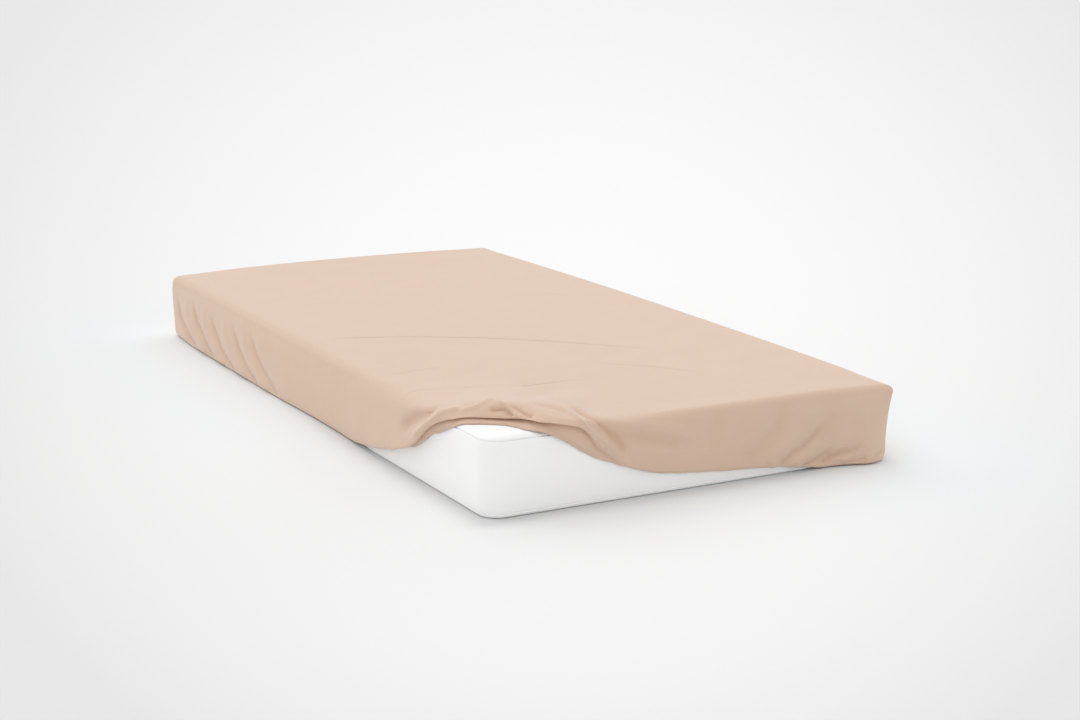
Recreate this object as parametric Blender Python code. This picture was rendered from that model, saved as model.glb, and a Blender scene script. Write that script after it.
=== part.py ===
"""A fitted sheet on a plain mattress, with one corner of the sheet slipped up over the top edge.

Metres, +Z up. The origin is the middle of the mattress's base, on the surface it stands on. X runs
along the short side, Y along the long side, and the bare corner of the mattress is at -X, -Y.

The mattress is one filled block with rounded corners and a soft shoulder. The sheet is one cloth: a
top panel whose border bends over the shoulder and down the sides, and ends in a hem that an elastic
draws in under the mattress. Round the bare corner the hem has slipped up and lies on the top.
"""

from collections import namedtuple

import bmesh
import bpy
import numpy as np

MM = 0.001

# ---------------------------------------------------------------- driving dimensions
MATTRESS_WIDTH = 1000 * MM
MATTRESS_LENGTH = 2000 * MM
MATTRESS_HEIGHT = 169.7 * MM        # top of the shoulder, at the edges
CROWN = 1.5 * MM                    # how much higher the middle of the top is
CORNER_RADIUS = 45 * MM             # seen from above
SHOULDER_RADIUS = 16 * MM           # between side and top
FOOT_RADIUS = 8 * MM                # between side and base

CLOTH = 1.5 * MM                    # thickness of the sheet
TUCK = 50 * MM                      # how far the hem reaches in under the mattress
HEM_BED = CLOTH + 0.8 * MM          # how deep the hem presses into the base of the mattress
CLEAR_TOP = 0.8 * MM                # sheet to mattress on the flat top
CLEAR_EDGE = 2.2 * MM               # sheet to mattress over the shoulder and down the sides

BORDER = 180 * MM                   # width of the frame in which the sheet's sections run
PUFF_START = 125 * MM               # how far in from the side the slipped cloth starts to rise
HALF = np.array([MATTRESS_WIDTH, MATTRESS_LENGTH]) / 2
HALF_PANEL = HALF - BORDER
HALF_ARC = CORNER_RADIUS * np.pi / 4
SIDE_REACH = HALF - CORNER_RADIUS + HALF_ARC    # middle of a side to the middle of its corner

# Places on the outline, from the middle of the bare corner, between which the hem goes in under the
# mattress on the long (left) and on the short (right) side.
BED_LEFT = (570 * MM, 632 * MM)
BED_RIGHT = (745 * MM, 808 * MM)

# How far the top sinks at each covered corner, where the sheet pulls on it.
CORNER_SAG_REACH = 95 * MM
CornerSag = namedtuple("CornerSag", "x y sag")
CORNER_SAGS = (
    CornerSag(-1, +1, 5 * MM),
    CornerSag(+1, -1, 7 * MM),
    CornerSag(+1, +1, 3 * MM),
)

# Sections of the sheet round the bare corner, in mm. "place" is measured along the mattress's
# outline from the middle of the bare corner, minus along the long side. The rest give, for each
# section, the crest of the puff (in from the side, up from the top), the shoulder, the nose where
# the cloth turns back, the crease behind it, the hem band and the hem: "out" is outwards from the
# mattress's side and "up" is the height above the base.
Section = namedtuple(
    "Section",
    "place crest_out crest_up shoulder_out shoulder_up nose_out nose_up crease_out crease_up"
    " band_out hem_out hem_up",
)
COVERED = Section(0, -40, 0, 3, 172, 6, 2, -6, 1.5, -26, -50, 1.5)
RAISED_SECTIONS = (
    Section(-760, -40, 0, 3, 172, 6, 2, -6, 1.5, -26, -50, 1.5),
    Section(-690, -40, 0, 3, 172, 7, 3, -3, 1.5, -14, -26, 1.5),
    Section(-640, -40, 0, 4, 172, 9, 3, 4, 1.5, 2, -2, 1.5),
    Section(-600, -40, 0, 5, 172, 11, 4, 6, 4, 4, 3, 6),
    Section(-540, -40, 0, 6, 172, 13, 16, 6, 22, 4, 3, 30),
    Section(-420, -40, 1, 8, 173, 19, 42, 6, 56, 4, 3, 66),
    Section(-330, -40, 3, 11, 175, 24, 68, 6, 86, 4, 3, 80),
    Section(-270, -44, 6, 14, 180, 25, 92, 5, 112, 8, 3, 92),
    Section(-210, -50, 9, 16, 188, 24, 124, 3, 143, 9, 3, 117),
    Section(-150, -58, 13, 13, 198, 19, 161, -3, 176, 7, 3, 145),
    Section(-100, -68, 18, 2, 204, 9, 180, -16, 193, -6, -2, 171),
    Section(-50, -84, 21, -24, 206, -18, 182, -44, 194, -34, -30, 171),
    Section(0, -94, 23, -38, 207, -29, 184, -56, 196, -46, -41, 171),
    Section(40, -90, 23, -26, 208, -18, 186, -47, 197, -36, -30, 171),
    Section(80, -76, 21, -4, 208, 6, 186, -20, 197, -10, -6, 171),
    Section(120, -62, 18, 16, 208, 24, 182, -2, 192, 8, 3, 158),
    Section(160, -52, 15, 19, 202, 26, 172, 2, 182, 14, 3, 140),
    Section(200, -46, 11, 16, 193, 25, 158, 8, 164, 15, 3, 118),
    Section(230, -40, 8, 12, 184, 21, 124, 9, 122, 9, 3, 105),
    Section(300, -40, 3, 9, 176, 16, 76, 6, 78, 4, 3, 77),
    Section(390, -40, 1, 7, 173, 12, 50, 4, 53, 4, 3, 55),
    Section(520, -40, 0, 5, 172, 10, 36, 4, 38, 4, 3, 41),
    Section(680, -40, 0, 4, 172, 9, 17, 4, 17, 4, 3, 21),
    Section(770, -40, 0, 4, 172, 9, 5, 6, 5, 4, 3, 7),
    Section(810, -40, 0, 3, 172, 8, 3, 3, 1.5, 1, -3, 1.5),
    Section(850, -40, 0, 3, 172, 7, 3, -3, 1.5, -14, -26, 1.5),
    Section(910, -40, 0, 3, 172, 6, 2, -6, 1.5, -26, -50, 1.5),
)

# The mattress's rings: the steps of its rounded edges in degrees, where the base slopes up into the
# hem's bed beyond the hem, and how far in on the top its crown is shaped.
Ring = namedtuple("Ring", "inset height on_bed")
Slope = namedtuple("Slope", "start end")
MATTRESS_ARC = (20, 45, 68, 90)
BED_SLOPE = Slope(10 * MM, 22 * MM)
TOP_INSETS = (60 * MM, 200 * MM, 380 * MM)
SIDE_POINTS = (13, 19)
CORNER_POINTS = 4

# How pointed the sheet's corner is, seen from above: the sewn corner stands off the round corner of
# the mattress at the top, and the elastic draws it round at the foot.
SHEET_CORNER_TOP = 12 * MM
SHEET_CORNER_FOOT = 40 * MM
BARE_REACH = 200 * MM       # round the bare corner, the sheet is as round as the mattress

# Cells of the flat middle of the top, how close the sections stand along the outline, and where on
# each section its points lie: close together over the shoulder and round the nose.
PANEL_CELLS = (9, 17)
STEPS = (0.1, 0.17, 0.22, 0.255, 0.29, 0.34, 0.42, 0.52, 0.62, 0.69, 0.745, 0.79, 0.86, 1.0)
Spacing = namedtuple("Spacing", "place gap")
SECTION_SPACING = (
    Spacing(-1980, 12), Spacing(-1920, 14), Spacing(-1860, 26), Spacing(-1100, 28),
    Spacing(-900, 60), Spacing(-600, 40), Spacing(-330, 26), Spacing(-200, 18), Spacing(0, 16),
    Spacing(200, 18), Spacing(330, 30), Spacing(700, 28), Spacing(930, 18), Spacing(980, 12),
    Spacing(1030, 14), Spacing(1150, 90), Spacing(2800, 90), Spacing(2900, 16), Spacing(2960, 12),
    Spacing(3020, 16), Spacing(3120, 90), Spacing(3780, 90), Spacing(3900, 16), Spacing(3940, 12),
)

# Folds of the sheet, as ridges (plus) and troughs (minus) that follow a path of (x, y, z), all in mm.
# A fold rises over the first share of its path, and fades over the last.
Fold = namedtuple("Fold", "path width height")
FOLD_RISE = (0.0, 0.25)
FOLD_END = (-0.025, 0.1)
FOLDS_FADE = (4 * MM, 16 * MM)      # heights over which the folds die out towards the base
CROWN_FADE = (150 * MM, 170 * MM)   # and over which the crown does, down the sides
FOLDS = (
    # gathers at the left end of the long side, drawn towards the foot of the corner
    Fold(((-505, 930, 95), (-505, 855, 45), (-505, 757, 10)), 18, -4),
    Fold(((-505, 795, 120), (-505, 745, 80), (-505, 612, 10)), 18, -4),
    Fold(((-505, 650, 108), (-505, 576, 61), (-505, 440, 10)), 18, -4),
    Fold(((-505, 455, 118), (-505, 425, 71), (-505, 286, 8)), 18, -4),
    Fold(((-505, 335, 122), (-505, 266, 72), (-505, 130, 8)), 18, -4),
    # gathers at the right end of the short side
    Fold(((116, -1005, 33), (150, -1005, 70), (210, -1005, 130)), 22, -3),
    Fold(((205, -1005, 22), (250, -1005, 52), (324, -1005, 101)), 18, -4),
    Fold(((300, -1005, 10), (345, -1005, 27), (395, -1005, 42)), 14, -3),
    # the ridge that crosses the top and the short edge, the valley beside it and a hump beyond
    Fold(((-277, -860, 188), (-285, -955, 196), (-288, -1018, 182), (-266, -1020, 153),
          (-225, -1018, 122), (-182, -1014, 77)), 9, 7),
    Fold(((-262, -940, 178), (-258, -1000, 180), (-232, -1018, 166), (-174, -1014, 150),
          (-110, -1010, 138)), 18, -6),
    Fold(((-165, -1000, 185), (-140, -1012, 165), (-104, -1012, 143)), 18, 3),
    # the trough and the ridge left of the slipped corner
    Fold(((-512, -600, 108), (-515, -709, 149), (-512, -765, 178), (-480, -770, 190)), 15, -7),
    Fold(((-515, -690, 112), (-515, -769, 160), (-500, -806, 188), (-470, -815, 192)), 13, 5),
    # the pinch in the middle of the slipped corner, with a ridge on each side
    Fold(((-392, -840, 194), (-400, -890, 194), (-410, -930, 190)), 10, -11),
    Fold(((-372, -800, 190), (-372, -860, 197), (-378, -915, 196)), 11, 6),
    Fold(((-425, -800, 190), (-432, -850, 196), (-440, -900, 196)), 14, 5),
)


# ---------------------------------------------------------------- the outline of the mattress
def ramp(value, start, end):
    """0 up to start, 1 from end on, and a smooth rise between them."""
    t = np.clip((value - start) / (end - start), 0.0, 1.0)
    return t * t * (3 - 2 * t)


def quarter_turns(vector, count):
    """The vector turned anticlockwise, seen from above, by this many right angles."""
    for _ in range(count):
        vector = np.array([-vector[1], vector[0]])
    return vector


def outline_point(side, run, radius):
    """Point and outward normal on the rounded outline. side 0..3 is near, right, back and left, and
    run goes from -1 at one corner's middle to +1 at the next, anticlockwise from above."""
    across = side % 2
    straight = HALF[across] - CORNER_RADIUS
    distance = run * SIDE_REACH[across]
    over = max(abs(distance) - straight, 0.0)
    angle = np.sign(distance) * over / CORNER_RADIUS
    along = np.sign(distance) * min(abs(distance), straight)
    if over > 0:
        along = np.sign(distance) * (HALF[across] - radius)
    normal = np.array([np.sin(angle), -np.cos(angle)])
    point = np.array([along, -(HALF[1 - across] - radius)]) + normal * radius
    return quarter_turns(point, side), quarter_turns(normal, side)


def place_along(side, run):
    """Distance along the outline from the middle of the bare corner, plus along the short side."""
    near, long_side = 2 * SIDE_REACH[0], 2 * SIDE_REACH[1]
    starts = (0.0, near, near + long_side, -long_side)
    span = near if side % 2 == 0 else long_side
    distance = span * (run + 1) / 2
    return starts[side] + distance


def panel_point(side, run):
    """The matching point on the border of the flat middle panel."""
    across = side % 2
    return quarter_turns(np.array([run * HALF_PANEL[across], -HALF_PANEL[1 - across]]), side)


def corner_sag(points):
    """How far the soft top sinks at its covered corners, fading out down the sides."""
    down = np.zeros(len(points))
    for corner in CORNER_SAGS:
        away = np.hypot(points[:, 0] - corner.x * HALF[0], points[:, 1] - corner.y * HALF[1])
        down += corner.sag * np.exp(-((away / CORNER_SAG_REACH) ** 2))
    return down * ramp(points[:, 2], 0.375 * MATTRESS_HEIGHT, MATTRESS_HEIGHT)


def crown(xy):
    """Extra height of the middle of the top over its edges."""
    share = np.clip(1 - (np.abs(xy) / HALF) ** 2, 0, 1)
    return CROWN * share[:, 0] * share[:, 1]


# ---------------------------------------------------------------- the mattress
def covered_share(place):
    """1 where the hem lies under the mattress, 0 where the base is bare."""
    return max(ramp(-place, *BED_LEFT), ramp(place, *BED_RIGHT))


def mattress_rings():
    """Inset and height of each ring, from the flat base round the foot, the side and the shoulder
    onto the top, and whether the hem's bed lifts it."""
    arc = np.radians(MATTRESS_ARC)
    centre = MATTRESS_HEIGHT - SHOULDER_RADIUS
    rings = [Ring(TUCK + BED_SLOPE.end, 0, False), Ring(TUCK + BED_SLOPE.start, 0, True)]
    for a in arc:
        rings.append(Ring(FOOT_RADIUS * (1 - np.sin(a)), FOOT_RADIUS * (1 - np.cos(a)), True))
    rings.append(Ring(0, centre, False))
    for a in arc:
        inset = SHOULDER_RADIUS * (1 - np.cos(a))
        rings.append(Ring(inset, centre + SHOULDER_RADIUS * np.sin(a), False))
    for inset in TOP_INSETS:
        rings.append(Ring(inset, MATTRESS_HEIGHT, False))
    return rings


def mattress_stations():
    """Where each ring's points lie: evenly along the sides, and closer round the corners."""
    stations = []
    for side in range(4):
        corner = HALF_ARC / SIDE_REACH[side % 2]
        bend = np.linspace(1 - corner, 1, CORNER_POINTS)
        straight = np.linspace(corner - 1, 1 - corner, SIDE_POINTS[side % 2])
        stations += [(side, run) for run in (*(-bend[:0:-1]), *straight, *bend[1:-1])]
    return stations


def mattress_point(side, run, ring):
    point, normal = outline_point(side, run, CORNER_RADIUS)
    xy = point - normal * ring.inset if ring.inset < CORNER_RADIUS else point * (1 - ring.inset / HALF)
    z = ring.height
    if ring.on_bed:
        z += HEM_BED * covered_share(place_along(side, run))
    if ring.height >= MATTRESS_HEIGHT:
        z += crown(xy[None])[0]
    z -= corner_sag(np.array([[*xy, z]]))[0]
    return (*xy, z)


def build_mattress():
    """Rings of the outline, from the base up over the shoulder, closed by two flat caps."""
    bm = bmesh.new()
    stations = mattress_stations()
    loops = [
        [bm.verts.new(mattress_point(side, run, ring)) for side, run in stations]
        for ring in mattress_rings()
    ]
    for low, high in zip(loops, loops[1:]):
        for i in range(len(stations)):
            j = (i + 1) % len(stations)
            bm.faces.new((low[i], low[j], high[j], high[i]))
    bm.faces.new(loops[0][::-1])
    bm.faces.new(loops[-1])
    return finish("mattress", bm, MATTRESS_COLOUR, MATTRESS_ROUGHNESS)


# ---------------------------------------------------------------- the sheet
def section_at(place):
    """The section's sizes at a place on the outline, eased between the table's rows."""
    rows = RAISED_SECTIONS
    mm = place / MM
    if mm <= rows[0].place or mm >= rows[-1].place:
        return np.array(COVERED[1:], float)
    after = next(i for i, row in enumerate(rows) if row.place >= mm)
    quad = [np.array(rows[min(max(i, 0), len(rows) - 1)], float) for i in range(after - 2, after + 2)]
    t = (mm - quad[1][0]) / (quad[2][0] - quad[1][0])
    before, start, end, beyond = (row[1:] for row in quad)
    slope_start = (end - before) / 2
    slope_end = (beyond - start) / 2
    cubic = (
        (2 * t**3 - 3 * t**2 + 1) * start + (t**3 - 2 * t**2 + t) * slope_start
        + (3 * t**2 - 2 * t**3) * end + (t**3 - t**2) * slope_end
    )
    low = np.minimum(start, end)
    return np.clip(cubic, low, np.maximum(start, end))


def control_points(place):
    """Control polygon of one section, as (out, up) in metres."""
    c = Section(0, *section_at(place))
    top = (MATTRESS_HEIGHT + CLEAR_TOP) / MM
    belly_out = max(c.shoulder_out, c.nose_out) + 1
    points = [
        (-BORDER / MM, top), (-PUFF_START / MM, top + 0.3 * c.crest_up),
        (c.crest_out, top + c.crest_up), (c.shoulder_out, c.shoulder_up),
        (belly_out, 0.65 * c.shoulder_up + 0.35 * c.nose_up),
        (belly_out, 0.3 * c.shoulder_up + 0.7 * c.nose_up),
        (c.nose_out, c.nose_up), (c.crease_out, c.crease_up),
        (c.band_out, (c.crease_up + c.hem_up) / 2),
        (c.hem_out, c.hem_up),
    ]
    return np.array(points) * MM


def bspline(control, steps):
    """A clamped cubic B-spline through the section's control polygon."""
    degree, count = 3, len(control)
    knots = np.concatenate([np.zeros(degree), np.linspace(0, 1, count - degree + 1), np.ones(degree)])
    basis = np.zeros((len(steps), len(knots) - 1))
    for i in range(len(knots) - 1):
        basis[:, i] = (steps >= knots[i]) & (steps < knots[i + 1])
    basis[steps >= 1, count - 1] = 1
    for k in range(1, degree + 1):
        for i in range(len(knots) - 1 - k):
            left = knots[i + k] - knots[i]
            right = knots[i + k + 1] - knots[i + 1]
            a = (steps - knots[i]) / left * basis[:, i] if left > 0 else 0
            b = (knots[i + k + 1] - steps) / right * basis[:, i + 1] if right > 0 else 0
            basis[:, i] = a + b
    return basis[:, :count] @ control


def clear_of_mattress(out, up):
    """Moves a section's points out to where the cloth clears the mattress's side and shoulder."""
    side = out + SHOULDER_RADIUS
    top = up - (MATTRESS_HEIGHT - SHOULDER_RADIUS)
    round_part = (side > 0) & (top > 0)
    gap = np.where(round_part, np.hypot(side, top), np.maximum(side, top)) - SHOULDER_RADIUS
    wanted = CLEAR_TOP + (CLEAR_EDGE - CLEAR_TOP) * ramp(out, -70 * MM, -10 * MM)
    above_foot = up > FOOT_RADIUS + 12 * MM
    push = np.maximum(wanted - gap, 0) * above_foot
    length = np.maximum(np.hypot(side, top), 1e-9)
    towards = np.where(round_part, side / length, (side >= top).astype(float))
    upwards = np.where(round_part, top / length, (side < top).astype(float))
    return out + push * towards, up + push * upwards


def sheet_corner_radius(up, place):
    """Radius of the sheet's corner seen from above, at a height."""
    sewn = SHEET_CORNER_FOOT + (SHEET_CORNER_TOP - SHEET_CORNER_FOOT) * ramp(up, 0, MATTRESS_HEIGHT)
    bare = np.exp(-((place / BARE_REACH) ** 4))
    return sewn * (1 - bare) + CORNER_RADIUS * bare


def sheet_section(side, run, steps):
    """Points of one section of the sheet, from the middle panel's border out and down to the hem."""
    place = place_along(side, run)
    curve = bspline(control_points(place), steps)
    out, up = clear_of_mattress(curve[:, 0], curve[:, 1])
    inner = panel_point(side, run)
    points = []
    for o, h in zip(out, up):
        edge, normal = outline_point(side, run, sheet_corner_radius(h, place))
        plan = edge + o * normal if o > 0 else edge + (edge - inner) * (o / BORDER)
        points.append((*plan, h))
    return np.array(points)


def fold_shift(points, fold):
    """Height of one fold at each point: a soft bell across the path that fades at its ends."""
    path = np.array(fold.path, float) * MM
    best = np.full(len(points), np.inf)
    where = np.zeros(len(points))
    for i, (a, b) in enumerate(zip(path, path[1:])):
        t = np.clip((points - a) @ (b - a) / ((b - a) @ (b - a)), 0, 1)
        gap = np.linalg.norm(points - a - t[:, None] * (b - a), axis=1)
        nearer = gap < best
        best[nearer] = gap[nearer]
        where[nearer] = ((i + t) / (len(path) - 1))[nearer]
    fade = ramp(where, *FOLD_RISE) * ramp(1 - where, *FOLD_END)
    return fold.height * MM * fade * np.exp(-((best / (fold.width * MM)) ** 2))


def spacing_at(place):
    rows = SECTION_SPACING
    return np.interp(place / MM, [row.place for row in rows], [row.gap for row in rows]) * MM


def sheet_mesh():
    """The sheet's inner face: the middle panel's grid, a strip of fans, and rows of sections."""
    cells_x, cells_y = PANEL_CELLS
    xs = np.linspace(-HALF_PANEL[0], HALF_PANEL[0], cells_x + 1)
    ys = np.linspace(-HALF_PANEL[1], HALF_PANEL[1], cells_y + 1)
    grid = np.array([(x, y, MATTRESS_HEIGHT + CLEAR_TOP) for x in xs for y in ys])

    def index(i, j):
        return i * (cells_y + 1) + j

    faces = [
        (index(i, j), index(i + 1, j), index(i + 1, j + 1), index(i, j + 1))
        for i in range(cells_x) for j in range(cells_y)
    ]
    borders = (
        [index(i, 0) for i in range(cells_x + 1)],
        [index(cells_x, j) for j in range(cells_y + 1)],
        [index(i, cells_y) for i in range(cells_x, -1, -1)],
        [index(0, j) for j in range(cells_y, -1, -1)],
    )
    steps = np.array(STEPS)
    points = list(grid)
    columns = []
    spans = []
    for side, border in enumerate(borders):
        cells = len(border) - 1
        for cell in range(cells):
            first, last = (2 * cell / cells - 1), (2 * (cell + 1) / cells - 1)
            middle = place_along(side, (first + last) / 2)
            length = (last - first) * SIDE_REACH[side % 2]
            parts = max(1, int(round(length / spacing_at(middle))))
            spans.append((border[cell], border[cell + 1], len(columns), parts))
            for part in range(parts):
                run = first + (last - first) * part / parts
                section = sheet_section(side, run, steps)
                columns.append(range(len(points), len(points) + len(section)))
                points.extend(section)
    count = len(columns)
    for start, end, column, parts in spans:
        middle = parts // 2
        for part in range(parts):
            a = columns[column + part][0]
            b = columns[(column + part + 1) % count][0]
            if parts == 1:
                faces.append((start, a, b, end))
            elif part < middle:
                faces.append((start, a, b))
            elif part == middle:
                faces.append((start, a, b, end))
            else:
                faces.append((end, a, b))
    for i in range(count):
        this, following = columns[i], columns[(i + 1) % count]
        for row in range(len(steps) - 1):
            faces.append((this[row], this[row + 1], following[row + 1], following[row]))
    return np.array(points), faces


def point_normals(points, faces):
    """Outward normal at each point, from the faces round it."""
    normals = np.zeros_like(points)
    for face in faces:
        corners = points[list(face)]
        normal = np.cross(corners[2] - corners[0], corners[-1] - corners[1])
        normals[list(face)] += normal
    return normals / np.linalg.norm(normals, axis=1)[:, None]


def build_sheet():
    points, faces = sheet_mesh()
    normals = point_normals(points, faces)
    shift = sum(fold_shift(points, fold) for fold in FOLDS) * ramp(points[:, 2], *FOLDS_FADE)
    points = points + normals * shift[:, None]
    points[:, 2] += crown(points[:, :2]) * ramp(points[:, 2], *CROWN_FADE)
    points[:, 2] -= corner_sag(points)
    bm = bmesh.new()
    verts = [bm.verts.new(point) for point in points]
    for face in faces:
        bm.faces.new([verts[i] for i in face])
    sheet = finish("fitted_sheet", bm, SHEET_COLOUR, SHEET_ROUGHNESS)
    wall = sheet.modifiers.new("thickness", "SOLIDIFY")
    wall.thickness = CLOTH
    wall.offset = 1
    return sheet


# ---------------------------------------------------------------- objects
SHEET_COLOUR = (0.76, 0.60, 0.50)
SHEET_ROUGHNESS = 0.9
MATTRESS_COLOUR = (0.93, 0.93, 0.94)
MATTRESS_ROUGHNESS = 0.85


def finish(name, bm, colour, roughness):
    mesh = bpy.data.meshes.new(name)
    bm.to_mesh(mesh)
    bm.free()
    mesh.shade_smooth()
    material = bpy.data.materials.new(name)
    material.use_nodes = True
    shader = material.node_tree.nodes["Principled BSDF"]
    shader.inputs["Base Color"].default_value = (*colour, 1)
    shader.inputs["Roughness"].default_value = roughness
    mesh.materials.append(material)
    piece = bpy.data.objects.new(name, mesh)
    bpy.context.scene.collection.objects.link(piece)
    return piece


for stray in list(bpy.data.objects):
    bpy.data.objects.remove(stray)
build_mattress()
build_sheet()
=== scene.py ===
# %% [markdown]
# # A fitted sheet that has slipped off one corner of its mattress
# A fitted sheet is one rectangle of cotton with a square cut out of each corner. The cut edges are
# sewn together, so that the cloth becomes a shallow box, and an elastic in the hem draws the mouth
# of the box in under the mattress. Here the sheet is stretched over a low white mattress, and at one
# corner the elastic has let go: the hem has jumped up over the top edge and lies there, slack.
#
# Every length below is in metres. The origin is the middle of the mattress's base, X runs along the
# short side and Y along the long side, and the bare corner is at -X, -Y. The first lines load the
# solids that the checks use, so that what is modelled here stays where they are.

# %% Load the frame
from collections import namedtuple

import bpy
import numpy as np
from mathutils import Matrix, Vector, noise
from mathutils.geometry import delaunay_2d_cdt


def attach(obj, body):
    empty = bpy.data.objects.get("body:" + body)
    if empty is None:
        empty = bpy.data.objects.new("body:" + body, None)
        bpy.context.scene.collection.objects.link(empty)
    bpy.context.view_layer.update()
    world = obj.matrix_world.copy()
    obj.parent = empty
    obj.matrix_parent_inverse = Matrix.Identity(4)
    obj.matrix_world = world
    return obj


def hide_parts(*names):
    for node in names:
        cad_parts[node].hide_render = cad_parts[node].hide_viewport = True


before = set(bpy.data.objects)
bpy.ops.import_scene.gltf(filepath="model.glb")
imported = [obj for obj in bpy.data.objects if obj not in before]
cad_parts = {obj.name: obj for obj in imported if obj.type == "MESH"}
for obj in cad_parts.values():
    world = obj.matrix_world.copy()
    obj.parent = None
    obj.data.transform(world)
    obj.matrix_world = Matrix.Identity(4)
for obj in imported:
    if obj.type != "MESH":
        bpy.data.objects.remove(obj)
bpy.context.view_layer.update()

MM = 0.001

# %% [markdown]
# ## The camera
# The picture is taken from a little above the mattress, across its bare corner, with a long lens, so
# that far edges shrink only a little. A camera looks along its own minus Z, and `to_track_quat` turns
# a direction into that rotation.

# %% Camera
CAMERA_PLACE = Vector((-2.155, -4.31, 1.191))
CAMERA_TURN = np.radians(61.8)      # from +X towards +Y
CAMERA_DIP = np.radians(13.09)      # below the horizon
LENS_MM = 64.78                     # on a sensor 36 mm wide


def add_camera():
    data = bpy.data.cameras.new("camera")
    data.lens = LENS_MM
    data.sensor_width = 36
    data.clip_end = 200
    camera = bpy.data.objects.new("camera", data)
    bpy.context.scene.collection.objects.link(camera)
    level = np.cos(CAMERA_DIP)
    looking = Vector((level * np.cos(CAMERA_TURN), level * np.sin(CAMERA_TURN), -np.sin(CAMERA_DIP)))
    camera.location = CAMERA_PLACE
    camera.rotation_euler = looking.to_track_quat("-Z", "Y").to_euler()
    bpy.context.scene.camera = camera


add_camera()
print("camera with a lens of", LENS_MM, "mm")

# %% [markdown]
# ## The outline that both pieces follow
# Mattress and sheet share one outline: a rectangle with round corners, seen from above. A place on it
# is named by its side (0 is the near short side, then anticlockwise) and by a run from -1 at one
# corner's middle to +1 at the next. The radius can be chosen for each point, because the sewn corner
# of the sheet is more pointed than the mattress's. Numpy works on whole arrays of points at once, so
# these functions take a run and a radius for every point of a mesh.

# %% Outline
MATTRESS_HEIGHT = 169.7 * MM
HALF = np.array([1000, 2000]) * MM / 2
CORNER_RADIUS = 45 * MM
HALF_ARC = CORNER_RADIUS * np.pi / 4
SIDE_REACH = HALF - CORNER_RADIUS + HALF_ARC


def ramp(value, start, end):
    """0 up to start, 1 from end on, and a smooth rise between them."""
    t = np.clip((value - start) / (end - start), 0.0, 1.0)
    return t * t * (3 - 2 * t)


def eased(before, start, end, beyond, t):
    """From start at t = 0 to end at t = 1 on a cubic, with slopes from the neighbours on each side."""
    return (
        (2 * t**3 - 3 * t**2 + 1) * start + (t**3 - 2 * t**2 + t) * (end - before) / 2
        + (3 * t**2 - 2 * t**3) * end + (t**3 - t**2) * (beyond - start) / 2
    )


def quarter_turns(points, count):
    """Points turned anticlockwise, seen from above, by this many right angles."""
    for _ in range(count):
        points = np.stack([-points[..., 1], points[..., 0]], -1)
    return points


def outline_point(side, run, radius):
    """Points and outward normals on the outline, for arrays of runs and radii."""
    across = side % 2
    straight = HALF[across] - CORNER_RADIUS
    distance = np.abs(run) * SIDE_REACH[across]
    left_over = (distance - straight) / HALF_ARC * (CORNER_RADIUS - radius + radius * np.pi / 4)
    bend = np.maximum(left_over - (CORNER_RADIUS - radius), 0) / radius
    along = np.where(distance > straight, straight + left_over, distance)
    along = np.where(bend > 0, HALF[across] - radius, along)
    normal = np.stack([np.sign(run) * np.sin(bend), -np.cos(bend)], -1)
    centre = np.stack([np.sign(run) * along, radius - HALF[1 - across] + 0 * along], -1)
    point = centre + normal * radius[..., None]
    return quarter_turns(point, side), quarter_turns(normal, side)


def place_along(side, run):
    """Distance along the outline from the middle of the bare corner, plus along the short side."""
    near, long_side = 2 * SIDE_REACH
    starts = (0.0, near, near + long_side, -long_side)
    span = near if side % 2 == 0 else long_side
    return starts[side] + span * (run + 1) / 2


Spacing = namedtuple("Spacing", "along gap")


def spaced_runs(length, table):
    """Runs from -1 to 1 whose gaps follow a table, in mm from the side's start."""
    fine = np.linspace(0, length, 4000)
    gaps = np.interp(fine / MM, [row.along for row in table], [row.gap for row in table]) * MM
    counted = np.concatenate([[0], np.cumsum((1 / gaps)[1:] * np.diff(fine))])
    cells = int(round(counted[-1]))
    return np.interp(np.linspace(0, counted[-1], cells + 1), counted, fine) / length * 2 - 1


print("outline", round(4 * float(SIDE_REACH.sum()), 3), "m round")

# %% [markdown]
# ## The mattress
# Under the sheet lies a plain foam mattress: a filled block with soft edges, whose cover is sewn from a
# top panel, a border and a base. A primitive box with a bevel would give its form but not its seams.
# So its cross-section is drawn once, from the base over the foot, up the border and over the shoulder,
# and swept round the outline. The two seams are narrow grooves in that section, and the border between
# them swells a little, because the foam presses against it.

# %% Mattress sizes
CROWN = 1.5 * MM                # how much higher the middle of the top is
SHOULDER_RADIUS = 16 * MM
FOOT_RADIUS = 8 * MM
BORDER_SWELL = 1.2 * MM         # how far the middle of the border stands out
BORDER_FROM = 3 * MM            # above the base seam
HEM_BED = 2.3 * MM              # how deep the sheet's hem presses into the base
HEM_BED_REACH = 60 * MM         # how far in from the side
HEM_BED_STEP = 15 * MM
BED_LEFT = (570 * MM, 632 * MM)     # distance along the outline from the bare corner where it begins
BED_RIGHT = (745 * MM, 808 * MM)
Groove = namedtuple("Groove", "at half_width depth")
TOP_SEAM = Groove(1.8 * MM, 1.5 * MM, 5.5 * MM)     # at: how far in from the side
BASE_SEAM = Groove(9.8 * MM, 1.1 * MM, 1.8 * MM)    # at: how far above the base
MATTRESS_SPACING_SHORT = (Spacing(0, 4), Spacing(80, 6), Spacing(200, 20), Spacing(900, 20), Spacing(980, 6))
MATTRESS_SPACING_LONG = (Spacing(0, 4), Spacing(80, 6), Spacing(200, 25), Spacing(1900, 25), Spacing(1980, 6))
print("mattress", *(round(float(size), 3) for size in (*2 * HALF, MATTRESS_HEIGHT)), "m")

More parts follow.
